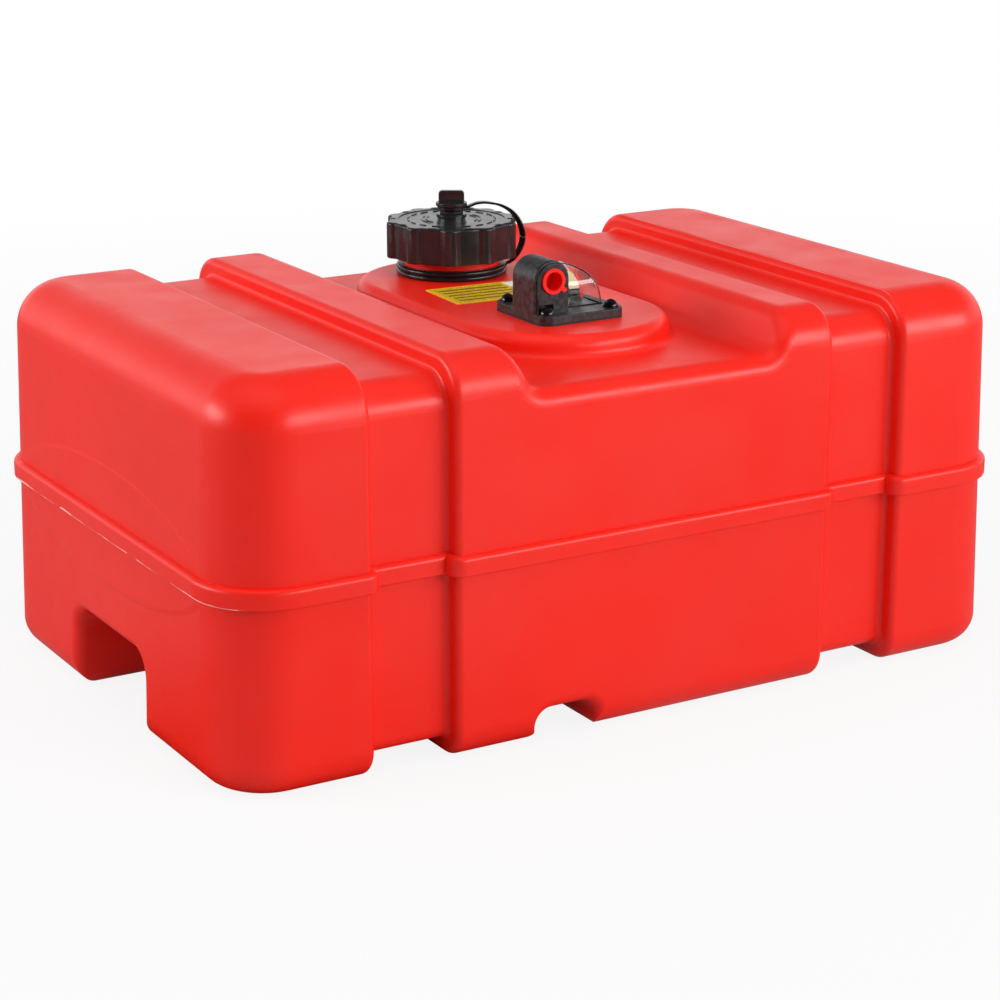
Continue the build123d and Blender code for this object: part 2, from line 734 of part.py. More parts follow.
def tether_strap():
    """Strap in a bow from the eye, over the cap's edge and back to the ring."""
    eye_level = eye_foot + keeper_eye_height / 2
    start = eye_radius + keeper_strap_straight
    bow = (start + cap_lobe_radius) / 2 - keeper_crown_lead
    widest = cap_lobe_radius + keeper_strap_gap + keeper_strap_thickness / 2
    over = (cap_lobe_radius - keeper_shoulder_inset, cap_deck + keeper_shoulder_rise)
    under = (cap_lobe_radius + keeper_tuck_reach, cap_foot - keeper_tuck_drop)
    first = Line((eye_radius - keeper_strap_root, eye_level), (start, eye_level))
    climb = TangentArc(first @ 1, ((start + bow) / 2, eye_level + keeper_strap_rise / 2), tangent=first % 1)
    crown = TangentArc(climb @ 1, (bow, eye_level + keeper_strap_rise), tangent=climb % 1)
    shoulder = TangentArc(crown @ 1, over, tangent=crown % 1)
    side = TangentArc(shoulder @ 1, (widest, cap_foot + cap_height / 2), tangent=shoulder % 1)
    tuck = TangentArc(side @ 1, under, tangent=side % 1)
    foot = TangentArc(tuck @ 1, (keeper_radius - keeper_strap_root, keeper_top_bead), tangent=tuck % 1)
    route = Wire([first, climb, crown, shoulder, side, tuck, foot])
    band = trace(route, line_width=keeper_strap_thickness)
    strap = extrude(Plane.XZ * band, amount=keeper_strap_width / 2, both=True)
    strap -= rod(eye_radius + keeper_end_gap, block_height, z=cap_deck)
    strap -= rod(keeper_radius + keeper_end_gap, cap_foot - boss_top, z=boss_top)
    return put(Rot(0, 0, keeper_direction) * strap, filler_x, filler_y)


# ---------------------------------------------------------------- fuel pickup
def flange_plan():
    """Outline of the pickup's flange and gasket."""
    return Pos(pickup_x, pickup_y) * RectangleRounded(pickup_size, pickup_size, pickup_corner_radius)


def drill_screws(solid, radius, foot, height):
    """Holes for the four screws."""
    for x, y in screw_places():
        solid -= rod(radius, height, x, y, foot)
    return solid


def arch(inset, front, back):
    """Block with a round top along Y, smaller all round by inset."""
    radius = housing_width / 2 - inset
    block = slab(housing_middle - radius, housing_middle + radius, front, back, flange_top - past, port_level)
    return block + bar((housing_middle, front, port_level), (housing_middle, back, port_level), radius)


def outlet_housing():
    """Arched outlet housing with its raised front pad and room for the nearest screw head."""
    body = arch(0, housing_front, housing_back)
    back = [edge for edge in body.edges()
            if edge.bounding_box().min.Y > housing_back - 0.01 and edge.center().Z > flange_top]
    body = fillet(back, housing_back_radius)
    front = [edge for edge in body.edges()
             if edge.bounding_box().max.Y < housing_front + 0.01 and edge.center().Z > flange_top]
    body = fillet(front, housing_edge_radius)
    pad = arch(housing_pad_inset, pad_front, housing_front + past)
    rim = [edge for edge in pad.edges()
           if edge.bounding_box().max.Y < pad_front + 0.01 and edge.center().Z > flange_top]
    body += fillet(rim, housing_edge_radius / 2)
    x, y = pickup_x - screw_offset, pickup_y - screw_offset
    return body - rod(screw_head_radius + screw_relief, screw_head_height + 2 * screw_relief, x, y,
                      flange_top)


def pickup_base():
    """Flange with spigot, outlet housing, dip tube socket and gauge post."""
    plate = extrude(Pos(0, 0, flange_foot) * flange_plan(), amount=pickup_plate)
    plate = fillet(level_edges(plate, flange_top), pickup_edge_radius)
    spigot_radius = pickup_hole_radius - spigot_gap
    base = plate + ring(spigot_radius, spigot_radius - spigot_wall, spigot_depth,
                        pickup_x, pickup_y, flange_foot - spigot_depth)
    base += outlet_housing()
    base = drill_screws(base, screw_shank_radius + screw_fit, flange_foot - past, pickup_plate + 2 * past)
    base += rod(tube_radius + socket_wall, socket_depth + past, tube_x, pickup_y, flange_foot - socket_depth)
    base -= rod(tube_radius + tube_fit, socket_depth + past, tube_x, pickup_y,
                flange_foot - socket_depth - past)
    base -= rod(riser_radius, port_level - flange_foot + past, tube_x, pickup_y, flange_foot - past)
    base -= bar((housing_middle, pad_front - past, port_level),
                (housing_middle, pad_front + port_seat_depth, port_level), port_radius)
    base -= bar((housing_middle, pad_front, port_level),
                (housing_middle, housing_back - passage_back_wall, port_level), passage_radius)
    post = slab(post_left, post_right, axle_y - post_width / 2, axle_y + post_width / 2,
                flange_top - past, axle_level)
    post += bar((post_left, axle_y, axle_level), (post_right, axle_y, axle_level), post_width / 2)
    base += post
    base -= bar((housing_right - axle_seat, axle_y, axle_level), (post_right + past, axle_y, axle_level),
                axle_radius + axle_fit)
    half_slot = arm_radius + slot_gap
    return base - slab(arm_x - half_slot, arm_x + half_slot, axle_y - slot_half_length,
                       axle_y + slot_half_length, flange_foot - past, flange_top + past)


def pickup_gasket():
    """Gasket between the flange and the boss."""
    gasket = extrude(Pos(0, 0, boss_top) * flange_plan(), amount=pickup_gasket_thickness)
    gasket -= rod(pickup_hole_radius, pickup_gasket_thickness, pickup_x, pickup_y, boss_top)
    return drill_screws(gasket, screw_shank_radius + screw_fit, boss_top - past,
                        pickup_gasket_thickness + 2 * past)


def flange_screw():
    """Screw with a domed head, a thin rim and a cross drive, its head standing on z = 0."""
    radius = screw_head_radius - screw_rim_width
    rise = screw_head_height - screw_rim_height
    ball_radius = (radius ** 2 + rise ** 2) / (2 * rise)
    head = rod(screw_head_radius, screw_rim_height)
    head += rod(radius, screw_head_height) & put(Sphere(ball_radius), z=screw_head_height - ball_radius)
    for turn in (0, 90):
        slot = Box(screw_slot_length, screw_slot_width, 2 * screw_slot_depth)
        head -= Rot(0, 0, turn) * put(slot, z=screw_head_height)
    shank = rod(screw_shank_radius, screw_length, z=-screw_length)
    return head + fillet(level_edges(shank, -screw_length), screw_shank_radius / 2)


def pickup_screws():
    """The four flange screws."""
    screw = flange_screw()
    return Compound([put(screw, x, y, flange_top) for x, y in screw_places()])


def port_plug():
    """Push-in plug of the outlet, hollow, with a pull tab."""
    front = pad_front - plug_gap
    flange_front = front - plug_flange_height
    radius = port_radius - plug_fit
    plug = bar((housing_middle, flange_front, port_level), (housing_middle, front, port_level),
               plug_flange_radius)
    tab_length = plug_flange_radius + plug_tab_length
    tab = slab(0, tab_length, flange_front, front, -plug_tab_width / 2, plug_tab_width / 2)
    tab = fillet(edges_at(tab, x=tab_length).filter_by(Axis.Y), plug_tab_width / 3)
    plug += put(Rot(0, -plug_tab_direction, 0) * tab, housing_middle, 0, port_level)
    plug += bar((housing_middle, front, port_level), (housing_middle, front + plug_length, port_level), radius)
    return plug - bar((housing_middle, flange_front - past, port_level),
                      (housing_middle, front + plug_length - plug_wall, port_level), radius - plug_wall)


def dip_tube():
    """Tube from the socket down to the tank's floor."""
    top = flange_foot
    foot = wall + strainer_floor_gap + strainer_wall + strainer_tube_gap
    return ring(tube_radius, tube_bore_radius, top - foot, tube_x, pickup_y, foot)


def tube_strainer():
    """Slotted cup round the foot of the dip tube."""
    foot = wall + strainer_floor_gap
    cup = rod(strainer_radius, strainer_height, tube_x, pickup_y, foot)
    cup -= rod(strainer_radius - strainer_wall, strainer_height - strainer_wall - strainer_collar,
               tube_x, pickup_y, foot + strainer_wall)
    cup -= rod(tube_radius + tube_fit, strainer_height, tube_x, pickup_y, foot + strainer_wall)
    for index in range(strainer_slots):
        level = foot + strainer_wall + strainer_slot_lift + index * strainer_slot_pitch
        for turn in (0, 90):
            slot = Box(2 * (strainer_radius + past), strainer_radius, strainer_slot_height)
            slot = put(Rot(0, 0, turn) * slot, tube_x, pickup_y, level + strainer_slot_height / 2)
            cup -= slot
    return cup


# ---------------------------------------------------------------- fuel gauge
def lens_solid(inset):
    """Quarter-round solid along Y under an arch along X, smaller by inset on its outer faces."""
    corner = housing_right + lens_flat
    radius = lens_radius - inset
    side = Line((housing_right, lens_foot), (housing_right, lens_foot + radius))
    flat = Line(side @ 1, (corner, lens_foot + radius))
    curve = CenterArc((corner, lens_foot), radius, 90, -90)
    base = Line(curve @ 1, side @ 0)
    face = make_face(Wire([side, flat, curve, base]))
    solid = put(extrude(Plane.XZ * face, amount=lens_depth - 2 * inset), y=lens_back - inset)
    level = lens_foot + lens_radius - lens_depth / 2
    right = corner + radius + past
    arch_radius = lens_depth / 2 - inset
    vault = slab(housing_right, right, lens_front + inset, lens_back - inset, lens_foot, level)
    vault += bar((housing_right, lens_middle, level), (right, lens_middle, level), arch_radius)
    return solid & vault


def gauge_lens():
    """Clear domed lens over the gauge, open at its foot and toward the housing."""
    lens = lens_solid(0)
    groins = [edge for edge in lens.edges()
              if edge.bounding_box().min.X > housing_right + 0.01 and edge.bounding_box().size.Z > lens_wall]
    return fillet(groins, lens_edge_radius) - lens_solid(lens_wall)


def lens_seal():
    """Seal under the foot of the lens."""
    right = housing_right + lens_flat + lens_radius
    seal = slab(housing_right, right, lens_front, lens_back, flange_top, lens_foot)
    return seal - slab(housing_right - past, right - lens_wall, lens_front + lens_wall, lens_back - lens_wall,
                       flange_top - past, lens_foot + past)


def gauge_axle():
    """Pin that carries the gauge wheel."""
    return bar((housing_right - axle_seat + axle_fit, axle_y, axle_level),
               (post_right, axle_y, axle_level), axle_radius)


def wheel_slice(outer, inner, left, width):
    """Sector of a ring round the gauge pin; at rest it leans back by half the swing."""
    middle = 90 - arm_swing / 2
    points = [(0, 0)]
    for step in (-0.5, -0.25, 0, 0.25, 0.5):
        angle = radians(middle + step * wheel_sector)
        points.append((2 * outer * cos(angle), 2 * outer * sin(angle)))
    wedge = make_face(Polyline(*points, close=True))
    face = (Circle(outer) - Circle(inner)) & wedge
    return put(extrude(Plane.YZ * face, amount=width), left, axle_y, axle_level)


def gauge_wheel():
    """Gauge wheel: hub, web and the rim that carries the scale."""
    hub = bar((hub_left, axle_y, axle_level), (hub_left + hub_length, axle_y, axle_level), hub_radius)
    wheel = hub + wheel_slice(wheel_radius, hub_radius - hub_web_overlap, wheel_left, wheel_web)
    wheel += wheel_slice(wheel_radius, wheel_radius - wheel_rim, wheel_left, wheel_width)
    return wheel - bar((hub_left - past, axle_y, axle_level), (post_left, axle_y, axle_level),
                       axle_radius + axle_fit)


def gauge_scale():
    """Pale band on the rim of the gauge wheel."""
    return wheel_slice(wheel_radius + scale_thickness, wheel_radius, wheel_left, wheel_width)


def float_arm():
    """Bent wire from the gauge pin down to the float, with an eye at its top."""
    pin = (arm_x, axle_y, axle_level)
    elbow = (arm_x, elbow_y, elbow_z)
    corner = (arm_x, float_y, float_z)
    tip = (clip_right + arm_tip, float_y, float_z)
    wire = FilletPolyline(pin, elbow, corner, tip, radius=arm_bend)
    arm = sweep(Plane(origin=wire @ 0, z_dir=wire % 0) * Circle(arm_radius), wire)
    arm += bar((arm_x - arm_eye_half, axle_y, axle_level), (hub_left, axle_y, axle_level), hub_radius)
    return arm - bar((arm_x - 2 * arm_radius, axle_y, axle_level), (post_left, axle_y, axle_level),
                     axle_radius + axle_fit)


def float_body():
    """Float on the end of the arm."""
    body = bar((float_left, float_y, float_z), (float_right, float_y, float_z), float_radius)
    body = fillet(body.edges().filter_by(GeomType.CIRCLE), float_edge_radius)
    return body - bar((float_left - past, float_y, float_z), (float_right + past, float_y, float_z),
                      arm_radius + float_bore_fit)


def float_clip():
    """Clip that keeps the float on its arm."""
    clip = bar((float_right, float_y, float_z), (clip_right, float_y, float_z), clip_radius)
    return clip - bar((float_right - past, float_y, float_z), (clip_right + past, float_y, float_z),
                      arm_radius + clip_fit)


# ---------------------------------------------------------------- sticker
def on_label(sketch, x, y, level, height):
    """Flat piece at a place on the sticker."""
    place = Pos(label_x, label_y, level) * Rot(0, 0, label_turn) * Pos(x, y)
    return extrude(place * sketch, amount=height)


def label_sheet():
    """Sticker on the boss between the filler and the pickup."""
    sheet = RectangleRounded(label_length, label_width, label_corner_radius)
    return on_label(sheet, 0, 0, boss_top, label_thickness)


def label_print():
    """Plain printed bars on the sticker."""
    level = boss_top + label_thickness
    middle = (print_bars - 1) / 2
    bars = []
    for index in range(print_bars):
        line = Rectangle(print_bar_length, print_bar_width)
        across = (index - middle) * print_bar_pitch
        bars.append(on_label(line, print_bar_offset, across, level, print_thickness))
    return Compound(bars)


def label_panel():
    """Pale panel in the sticker's corner."""
    level = boss_top + label_thickness
    panel = Rectangle(panel_length, panel_width)
    return on_label(panel, panel_offset_x, panel_offset_y, level, print_thickness)


sub_parts = [
    tank_shell, filler_cap, cap_gasket, vent_screw, vent_seal, tether_ring, tether_strap, tether_eye,
    pickup_base, pickup_gasket, pickup_screws, port_plug, gauge_lens, lens_seal, gauge_axle,
    gauge_wheel, gauge_scale, float_arm, float_body, float_clip, dip_tube, tube_strainer,
    label_sheet, label_print, label_panel,
]

os.makedirs("parts", exist_ok=True)
for sub_part in sub_parts:
    export_step(sub_part(), "parts/" + sub_part.__name__ + ".step")
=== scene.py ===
"""Looks for the portable marine fuel tank: finishes, small moulded detail, studio and camera."""

import json
import logging
import math
from dataclasses import dataclass, field
from enum import Enum
from typing import Sequence

import bmesh
import bpy
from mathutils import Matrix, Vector


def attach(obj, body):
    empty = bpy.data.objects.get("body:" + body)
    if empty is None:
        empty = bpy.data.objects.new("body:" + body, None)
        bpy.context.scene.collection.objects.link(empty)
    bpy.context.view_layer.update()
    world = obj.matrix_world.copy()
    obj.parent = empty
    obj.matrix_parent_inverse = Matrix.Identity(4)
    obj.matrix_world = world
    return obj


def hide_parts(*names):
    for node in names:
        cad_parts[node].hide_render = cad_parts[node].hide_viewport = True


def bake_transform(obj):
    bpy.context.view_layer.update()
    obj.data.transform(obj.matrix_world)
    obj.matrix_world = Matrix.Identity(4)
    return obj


log = logging.getLogger("fuel_tank")
Colour = tuple[float, float, float]
Point = tuple[float, float, float]
Pair = tuple[float, float]
Socket = bpy.types.NodeSocket

WHITE: Colour = (1.0, 1.0, 1.0)
FILLER_CENTRE: Pair = (0.012, 0.089)

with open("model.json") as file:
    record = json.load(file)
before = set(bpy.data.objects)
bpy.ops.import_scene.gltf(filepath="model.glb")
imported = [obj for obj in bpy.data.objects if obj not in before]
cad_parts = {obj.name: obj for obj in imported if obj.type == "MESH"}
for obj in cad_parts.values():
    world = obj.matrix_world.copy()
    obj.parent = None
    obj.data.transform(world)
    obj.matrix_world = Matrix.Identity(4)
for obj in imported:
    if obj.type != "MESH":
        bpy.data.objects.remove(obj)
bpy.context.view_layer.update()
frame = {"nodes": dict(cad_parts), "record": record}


# ------------------------------------------------------------------ node helpers
@dataclass(frozen=True)
class Noise:
    """Noise in object space: cells per metre, octaves, and the scale along each axis."""

    scale: float
    detail: float
    stretch: Point = (1.0, 1.0, 1.0)


@dataclass(frozen=True)
class Span:
    """Range from low to high that is mapped to a range from start to end, held at the ends."""

    low: float
    high: float
    start: float = 0.0
    end: float = 1.0


@dataclass(frozen=True)
class Bump:
    """Strength of a bump layer and the height in metres that it stands for."""

    strength: float
    distance: float


class NodeTree:
    """Small builder for a tree of shader nodes."""

    def __init__(self, tree: bpy.types.NodeTree, shader: bpy.types.Node, coordinates: str) -> None:
        """Work on a tree that has its main shader.

        Args:
            tree: The tree to build in.
            shader: Its main shader.
            coordinates: Texture coordinates that give the place of a point.
        """
        self.tree = tree
        self.shader = shader
        self.place = self.add("ShaderNodeTexCoord").outputs[coordinates]

    def add(self, kind: str, **values: object) -> bpy.types.Node:
        """Add a node and set its plain properties.

        Args:
            kind: Blender's name for the node type.
            values: Properties of the node.

        Returns:
            The new node.
        """
        node = self.tree.nodes.new(kind)
        for key, value in values.items():
            setattr(node, key, value)
        return node

    def link(self, source: Socket, target: Socket) -> None:
        """Join an output socket to an input socket."""
        self.tree.links.new(source, target)

    def feed(self, value: object, target: Socket) -> None:
        """Give an input socket its value.

        Args:
            value: Socket of another node, colour, vector or number.
            target: Input socket that gets it.
        """
        if isinstance(value, Socket):
            self.link(value, target)
        elif target.type == "RGBA":
            target.default_value = (*value, 1.0)
        else:
            target.default_value = value

    def set(self, **values: object) -> None:
        """Feed the shader's own sockets, named with underscores for spaces."""
        for key, value in values.items():
            self.feed(value, self.shader.inputs[key.replace("_", " ")])

    def noise(self, pattern: Noise) -> Socket:
        """Noise over the piece.

        Args:
            pattern: Scale, octaves and stretch of the noise.

        Returns:
            The socket with the noise, about 0.5 on average.
        """
        mapping = self.add("ShaderNodeMapping")
        self.feed(pattern.stretch, mapping.inputs["Scale"])
        self.feed(self.place, mapping.inputs["Vector"])
        node = self.add("ShaderNodeTexNoise")
        self.feed(pattern.scale, node.inputs["Scale"])
        self.feed(pattern.detail, node.inputs["Detail"])
        self.feed(mapping.outputs["Vector"], node.inputs["Vector"])
        return node.outputs["Fac"]

    def ramp(self, value: Socket, span: Span) -> Socket:
        """Map a value from one range to another.

        Args:
            value: Socket to map.
            span: The two ranges.

        Returns:
            The mapped socket.
        """
        node = self.add("ShaderNodeMapRange")
        limits = {"From Min": span.low, "From Max": span.high, "To Min": span.start, "To Max": span.end}
        for name, limit in limits.items():
            self.feed(limit, node.inputs[name])
        self.feed(value, node.inputs["Value"])
        return node.outputs["Result"]

    def band(self, value: Socket, middle: float, half: float, core: float = 0.3) -> Socket:
        """Band round one value.

        Args:
            value: Socket to look at.
            middle: Value in the middle of the band.
            half: Distance from the middle at which the band ends.
            core: Share of that distance over which the band is at full strength.

        Returns:
            1 near the middle, fading to 0 at the band's ends.
        """
        off = self.math("ABSOLUTE", self.math("SUBTRACT", value, middle))
        return self.ramp(off, Span(half, half * core))

    def math(self, operation: str, first: Socket, second: Socket | float | None = None) -> Socket:
        """Arithmetic on one or two values.

        Args:
            operation: Blender's name for the operation.
            first: Left value.
            second: Right value, where the operation has one.

        Returns:
            The result.
        """
        node = self.add("ShaderNodeMath", operation=operation)
        self.feed(first, node.inputs[0])
        if second is not None:
            self.feed(second, node.inputs[1])
        return node.outputs["Value"]

    def vector(self, operation: str, first: Socket, second: Point | None = None) -> Socket:
        """Arithmetic on one or two vectors.

        Args:
            operation: Blender's name for the operation.
            first: Left vector.
            second: Right vector, where the operation has one.

        Returns:
            The result, a number for a dot product or a length and a vector otherwise.
        """
        node = self.add("ShaderNodeVectorMath", operation=operation)
        self.feed(first, node.inputs[0])
        if second is not None:
            self.feed(second, node.inputs[1])
        return node.outputs["Value" if operation in ("DOT_PRODUCT", "LENGTH") else "Vector"]

    def mix(self, amount: Socket, first: Socket | float, second: Socket | float) -> Socket:
        """Mix two numbers by an amount.

        Args:
            amount: Share of the second number.
            first: Number or socket.
            second: Number or socket.

        Returns:
            The mixed number.
        """
        node = self.add("ShaderNodeMix")
        self.feed(amount, node.inputs["Factor"])
        self.feed(first, node.inputs["A"])
        self.feed(second, node.inputs["B"])
        return node.outputs["Result"]

    def blend(self, amount: Socket, first: Socket | Colour, second: Socket | Colour) -> Socket:
        """Mix two colours by an amount.

        Args:
            amount: Share of the second colour.
            first: Colour or socket.
            second: Colour or socket.

        Returns:
            The mixed colour.
        """
        node = self.add("ShaderNodeMix", data_type="RGBA")
        first_colour, second_colour = [socket for socket in node.inputs if socket.type == "RGBA"]
        self.feed(amount, node.inputs["Factor"])
        self.feed(first, first_colour)
        self.feed(second, second_colour)
        return next(socket for socket in node.outputs if socket.type == "RGBA")

    def axis(self, name: str, vector: Socket | None = None) -> Socket:
        """One coordinate of a vector.

        Args:
            name: X, Y or Z.
            vector: The vector, the place of the point where none is given.

        Returns:
            The coordinate.
        """
        node = self.add("ShaderNodeSeparateXYZ")
        self.feed(vector or self.place, node.inputs["Vector"])
        return node.outputs[name]

    def bumps(self, layers: Sequence[tuple[Socket, Bump]]) -> None:
        """Stack bump layers on the shader's normal.

        Args:
            layers: Height socket and bump of each layer, from the lowest up.
        """
        previous = None
        for height, bump in layers:
            node = self.add("ShaderNodeBump")
            self.feed(bump.strength, node.inputs["Strength"])
            self.feed(bump.distance, node.inputs["Distance"])
            self.feed(height, node.inputs["Height"])
            if previous is not None:
                self.feed(previous, node.inputs["Normal"])
            previous = node.outputs["Normal"]
        self.set(Normal=previous)

    def rays(self) -> tuple[Socket, Socket]:
        """Kinds of ray that reach a surface.

        Returns:
            1 for rays straight from the camera or through the lens, and 1 for mirrored rays.
        """
        path = self.add("ShaderNodeLightPath")
        direct = self.math("MAXIMUM", path.outputs["Is Camera Ray"], path.outputs["Is Transmission Ray"])
        return direct, path.outputs["Is Glossy Ray"]


class MaterialNodes(NodeTree):
    """Nodes of a new material with a principled shader."""

    def __init__(self, name: str) -> None:
        """Make the material.

        Args:
            name: Name of the material.
        """
        self.material = bpy.data.materials.new(name)
        self.material.use_nodes = True
        tree = self.material.node_tree
        tree.nodes.clear()
        super().__init__(tree, tree.nodes.new("ShaderNodeBsdfPrincipled"), "Object")
        self.output = self.add("ShaderNodeOutputMaterial")
        self.link(self.shader.outputs["BSDF"], self.output.inputs["Surface"])


class WorldNodes(NodeTree):
    """Nodes of a new world with a white background, whose place is a direction."""

    def __init__(self, name: str) -> None:
        """Make the world.

        Args:
            name: Name of the world.
        """
        self.world = bpy.data.worlds.new(name)
        self.world.use_nodes = True
        tree = self.world.node_tree
        super().__init__(tree, tree.nodes["Background"], "Generated")
        self.set(Color=WHITE)


# ------------------------------------------------------------------ finishes
@dataclass(frozen=True)
class BlownTankPlastic:
    """Red satin polyethylene of the tank body, with the faint marks of blow moulding and a painted highlight
    along the groove lips.
    """

    name: str = "red_tank"
    colour: Colour = (0.87, 0.013, 0.004)
    shade: Colour = (0.78, 0.010, 0.003)
    # pale colour of the mould flash line and the rubbed wear, also used for the painted highlight on the
    # groove lips
    flash_and_highlight: Colour = (0.95, 0.50, 0.44)
    refraction: float = 1.48
    wall: Noise = Noise(5.0, 2.0)
    wall_shade: Span = Span(0.35, 0.65, 0.0, 0.5)
    wall_bump: Bump = Bump(0.2, 0.004)
    cloud: Noise = Noise(28.0, 4.0)
    cloud_roughness: Span = Span(0.3, 0.7, 0.31, 0.40)
    cloud_bump: Bump = Bump(0.06, 0.0006)
    grain: Noise = Noise(900.0, 2.0)
    grain_bump: Bump = Bump(0.15, 0.00005)
    rubbed: Noise = Noise(9.0, 5.0)
    rubbed_share: Span = Span(0.45, 0.75, 0.0, 0.015)
    pits: Noise = Noise(330.0, 1.0)
    pits_edge: Span = Span(0.78, 0.82)
    pits_share: float = 0.15
    end_faces: Span = Span(0.281, 0.289)
    bead_level: float = 0.131
    bead_half: float = 0.0062
    wander: Noise = Noise(45.0, 2.0)
    wander_reach: Span = Span(0.3, 0.7, -0.0005, 0.0005)
    fine_half: float = 0.0006
    fine_breaks: Noise = Noise(34.0, 3.0, (1.0, 1.0, 0.0))
    fine_breaks_edge: Span = Span(0.42, 0.47)
    torn_rise: float = 0.0003
    torn_half: float = 0.0011
    torn_breaks: Noise = Noise(26.0, 3.0, (1.3, 1.0, 0.0))
    torn_breaks_edge: Span = Span(0.57, 0.60)
    swell_half: Pair = (0.150, 0.040)
    swell_rim: Span = Span(1.06, 0.94)
    swell_bump: Bump = Bump(0.6, 0.0008)
    # the lip fields place a painted highlight: a pale line along the upper lips of the strap grooves
    lip_reach: float = 0.2055
    lip_half: float = 0.0005
    lip_levels: Span = Span(0.258, 0.262)
    lip_highlight_breaks: Noise = Noise(20.0, 4.0)
    lip_highlight_share: Span = Span(0.4, 0.6, 0.1, 0.6)

    def bead_flash(self, nodes: NodeTree, ends: Socket) -> Socket:
        """Thin ragged line where the mould halves met, under the bead of the end faces.

        Args:
            nodes: Node tree of the material.
            ends: 1 on the end faces and their corners.

        Returns:
            Strength of the line.
        """
        wander = nodes.ramp(nodes.noise(self.wander), self.wander_reach)
        level = nodes.math("ADD", nodes.axis("Z"), wander)
        foot = self.bead_level - self.bead_half
        fine = nodes.math("MULTIPLY", nodes.band(level, foot, self.fine_half),
                          nodes.ramp(nodes.noise(self.fine_breaks), self.fine_breaks_edge))
        torn = nodes.math("MULTIPLY", nodes.band(level, foot + self.torn_rise, self.torn_half),
                          nodes.ramp(nodes.noise(self.torn_breaks), self.torn_breaks_edge))
        return nodes.math("MULTIPLY", nodes.math("MAXIMUM", fine, torn), ends)

    def swell(self, nodes: NodeTree, ends: Socket) -> Socket:
        """Low oval swell round the bead on the end faces.

        Args:
            nodes: Node tree of the material.
            ends: 1 on the end faces and their corners.

        Returns:
            Height of the swell, from 0 to 1.
        """
        across = nodes.math("DIVIDE", nodes.axis("Y"), self.swell_half[0])
        above = nodes.math("SUBTRACT", nodes.axis("Z"), self.bead_level)
        up = nodes.math("DIVIDE", above, self.swell_half[1])
        reach = nodes.math("ADD", nodes.math("MULTIPLY", across, across), nodes.math("MULTIPLY", up, up))
        return nodes.math("MULTIPLY", nodes.ramp(reach, self.swell_rim), ends)

    def painted_lip_highlight(self, nodes: NodeTree, sideways: Socket) -> Socket:
        """Painted highlight: a pale line along the upper lips of the strap grooves, where their edges catch
        the light.

        Args:
            nodes: Node tree of the material.
            sideways: Distance from the tank's middle along its length.

        Returns:
            Strength of the painted highlight.
        """
        lip = nodes.band(sideways, self.lip_reach, self.lip_half)
        lip = nodes.math("MULTIPLY", lip, nodes.ramp(nodes.axis("Z"), self.lip_levels))
        return nodes.math("MULTIPLY", lip, nodes.ramp(nodes.noise(self.lip_highlight_breaks), self.lip_highlight_share))

    def make(self) -> bpy.types.Material:
        """Build the material.

        Returns:
            The finished material.
        """
        nodes = MaterialNodes(self.name)
        wall, cloud, grain = [nodes.noise(pattern) for pattern in (self.wall, self.cloud, self.grain)]
        sideways = nodes.math("ABSOLUTE", nodes.axis("X"))
        ends = nodes.ramp(sideways, self.end_faces)
        # pale joins the mould flash line and the painted highlight on the groove lips
        pale = nodes.math("MAXIMUM", self.bead_flash(nodes, ends), self.painted_lip_highlight(nodes, sideways))
        rubbed = nodes.ramp(nodes.noise(self.rubbed), self.rubbed_share)
        pits = nodes.math("MULTIPLY", nodes.ramp(nodes.noise(self.pits), self.pits_edge), self.pits_share)
        base = nodes.blend(nodes.ramp(wall, self.wall_shade), self.colour, self.shade)
        for amount, colour in ((pale, self.flash_and_highlight), (rubbed, self.flash_and_highlight), (pits, self.shade)):
            base = nodes.blend(amount, base, colour)
        nodes.set(Base_Color=base, Roughness=nodes.ramp(cloud, self.cloud_roughness), IOR=self.refraction)
        nodes.bumps([(wall, self.wall_bump), (cloud, self.cloud_bump),
                     (self.swell(nodes, ends), self.swell_bump), (grain, self.grain_bump)])
        return nodes.material


@dataclass(frozen=True)
class MouldedPlastic:
    """Injection-moulded plastic with a fine skin, slight colour clouds and rubbed spots."""

    name: str
    colour: Colour
    cloud_colour: Colour
    roughness: float = 0.4
    spread: float = 0.06
    grain: float = 0.2
    mottle: float = 0.35
    cloud_scale: float = 120.0
    cloud_detail: float = 4.0
    cloud_edge: Pair = (0.42, 0.7)
    polish_edge: Pair = (0.3, 0.7)
    skin: Noise = Noise(2600.0, 2.0)
    skin_height: float = 0.00003
    cloud_bump: Bump = Bump(0.12, 0.0003)
    refraction: float = 1.5

    def make(self) -> bpy.types.Material:
        """Build the material.

        Returns:
            The finished material.
        """
        nodes = MaterialNodes(self.name)
        cloud = nodes.noise(Noise(self.cloud_scale, self.cloud_detail))
        skin = nodes.noise(self.skin)
        mottle = nodes.ramp(cloud, Span(*self.cloud_edge, 0.0, self.mottle))
        polish = Span(*self.polish_edge, self.roughness - self.spread, self.roughness + self.spread)
        nodes.set(Base_Color=nodes.blend(mottle, self.colour, self.cloud_colour),
                  Roughness=nodes.ramp(cloud, polish), IOR=self.refraction)
        nodes.bumps([(cloud, self.cloud_bump), (skin, Bump(self.grain, self.skin_height))])
        return nodes.material


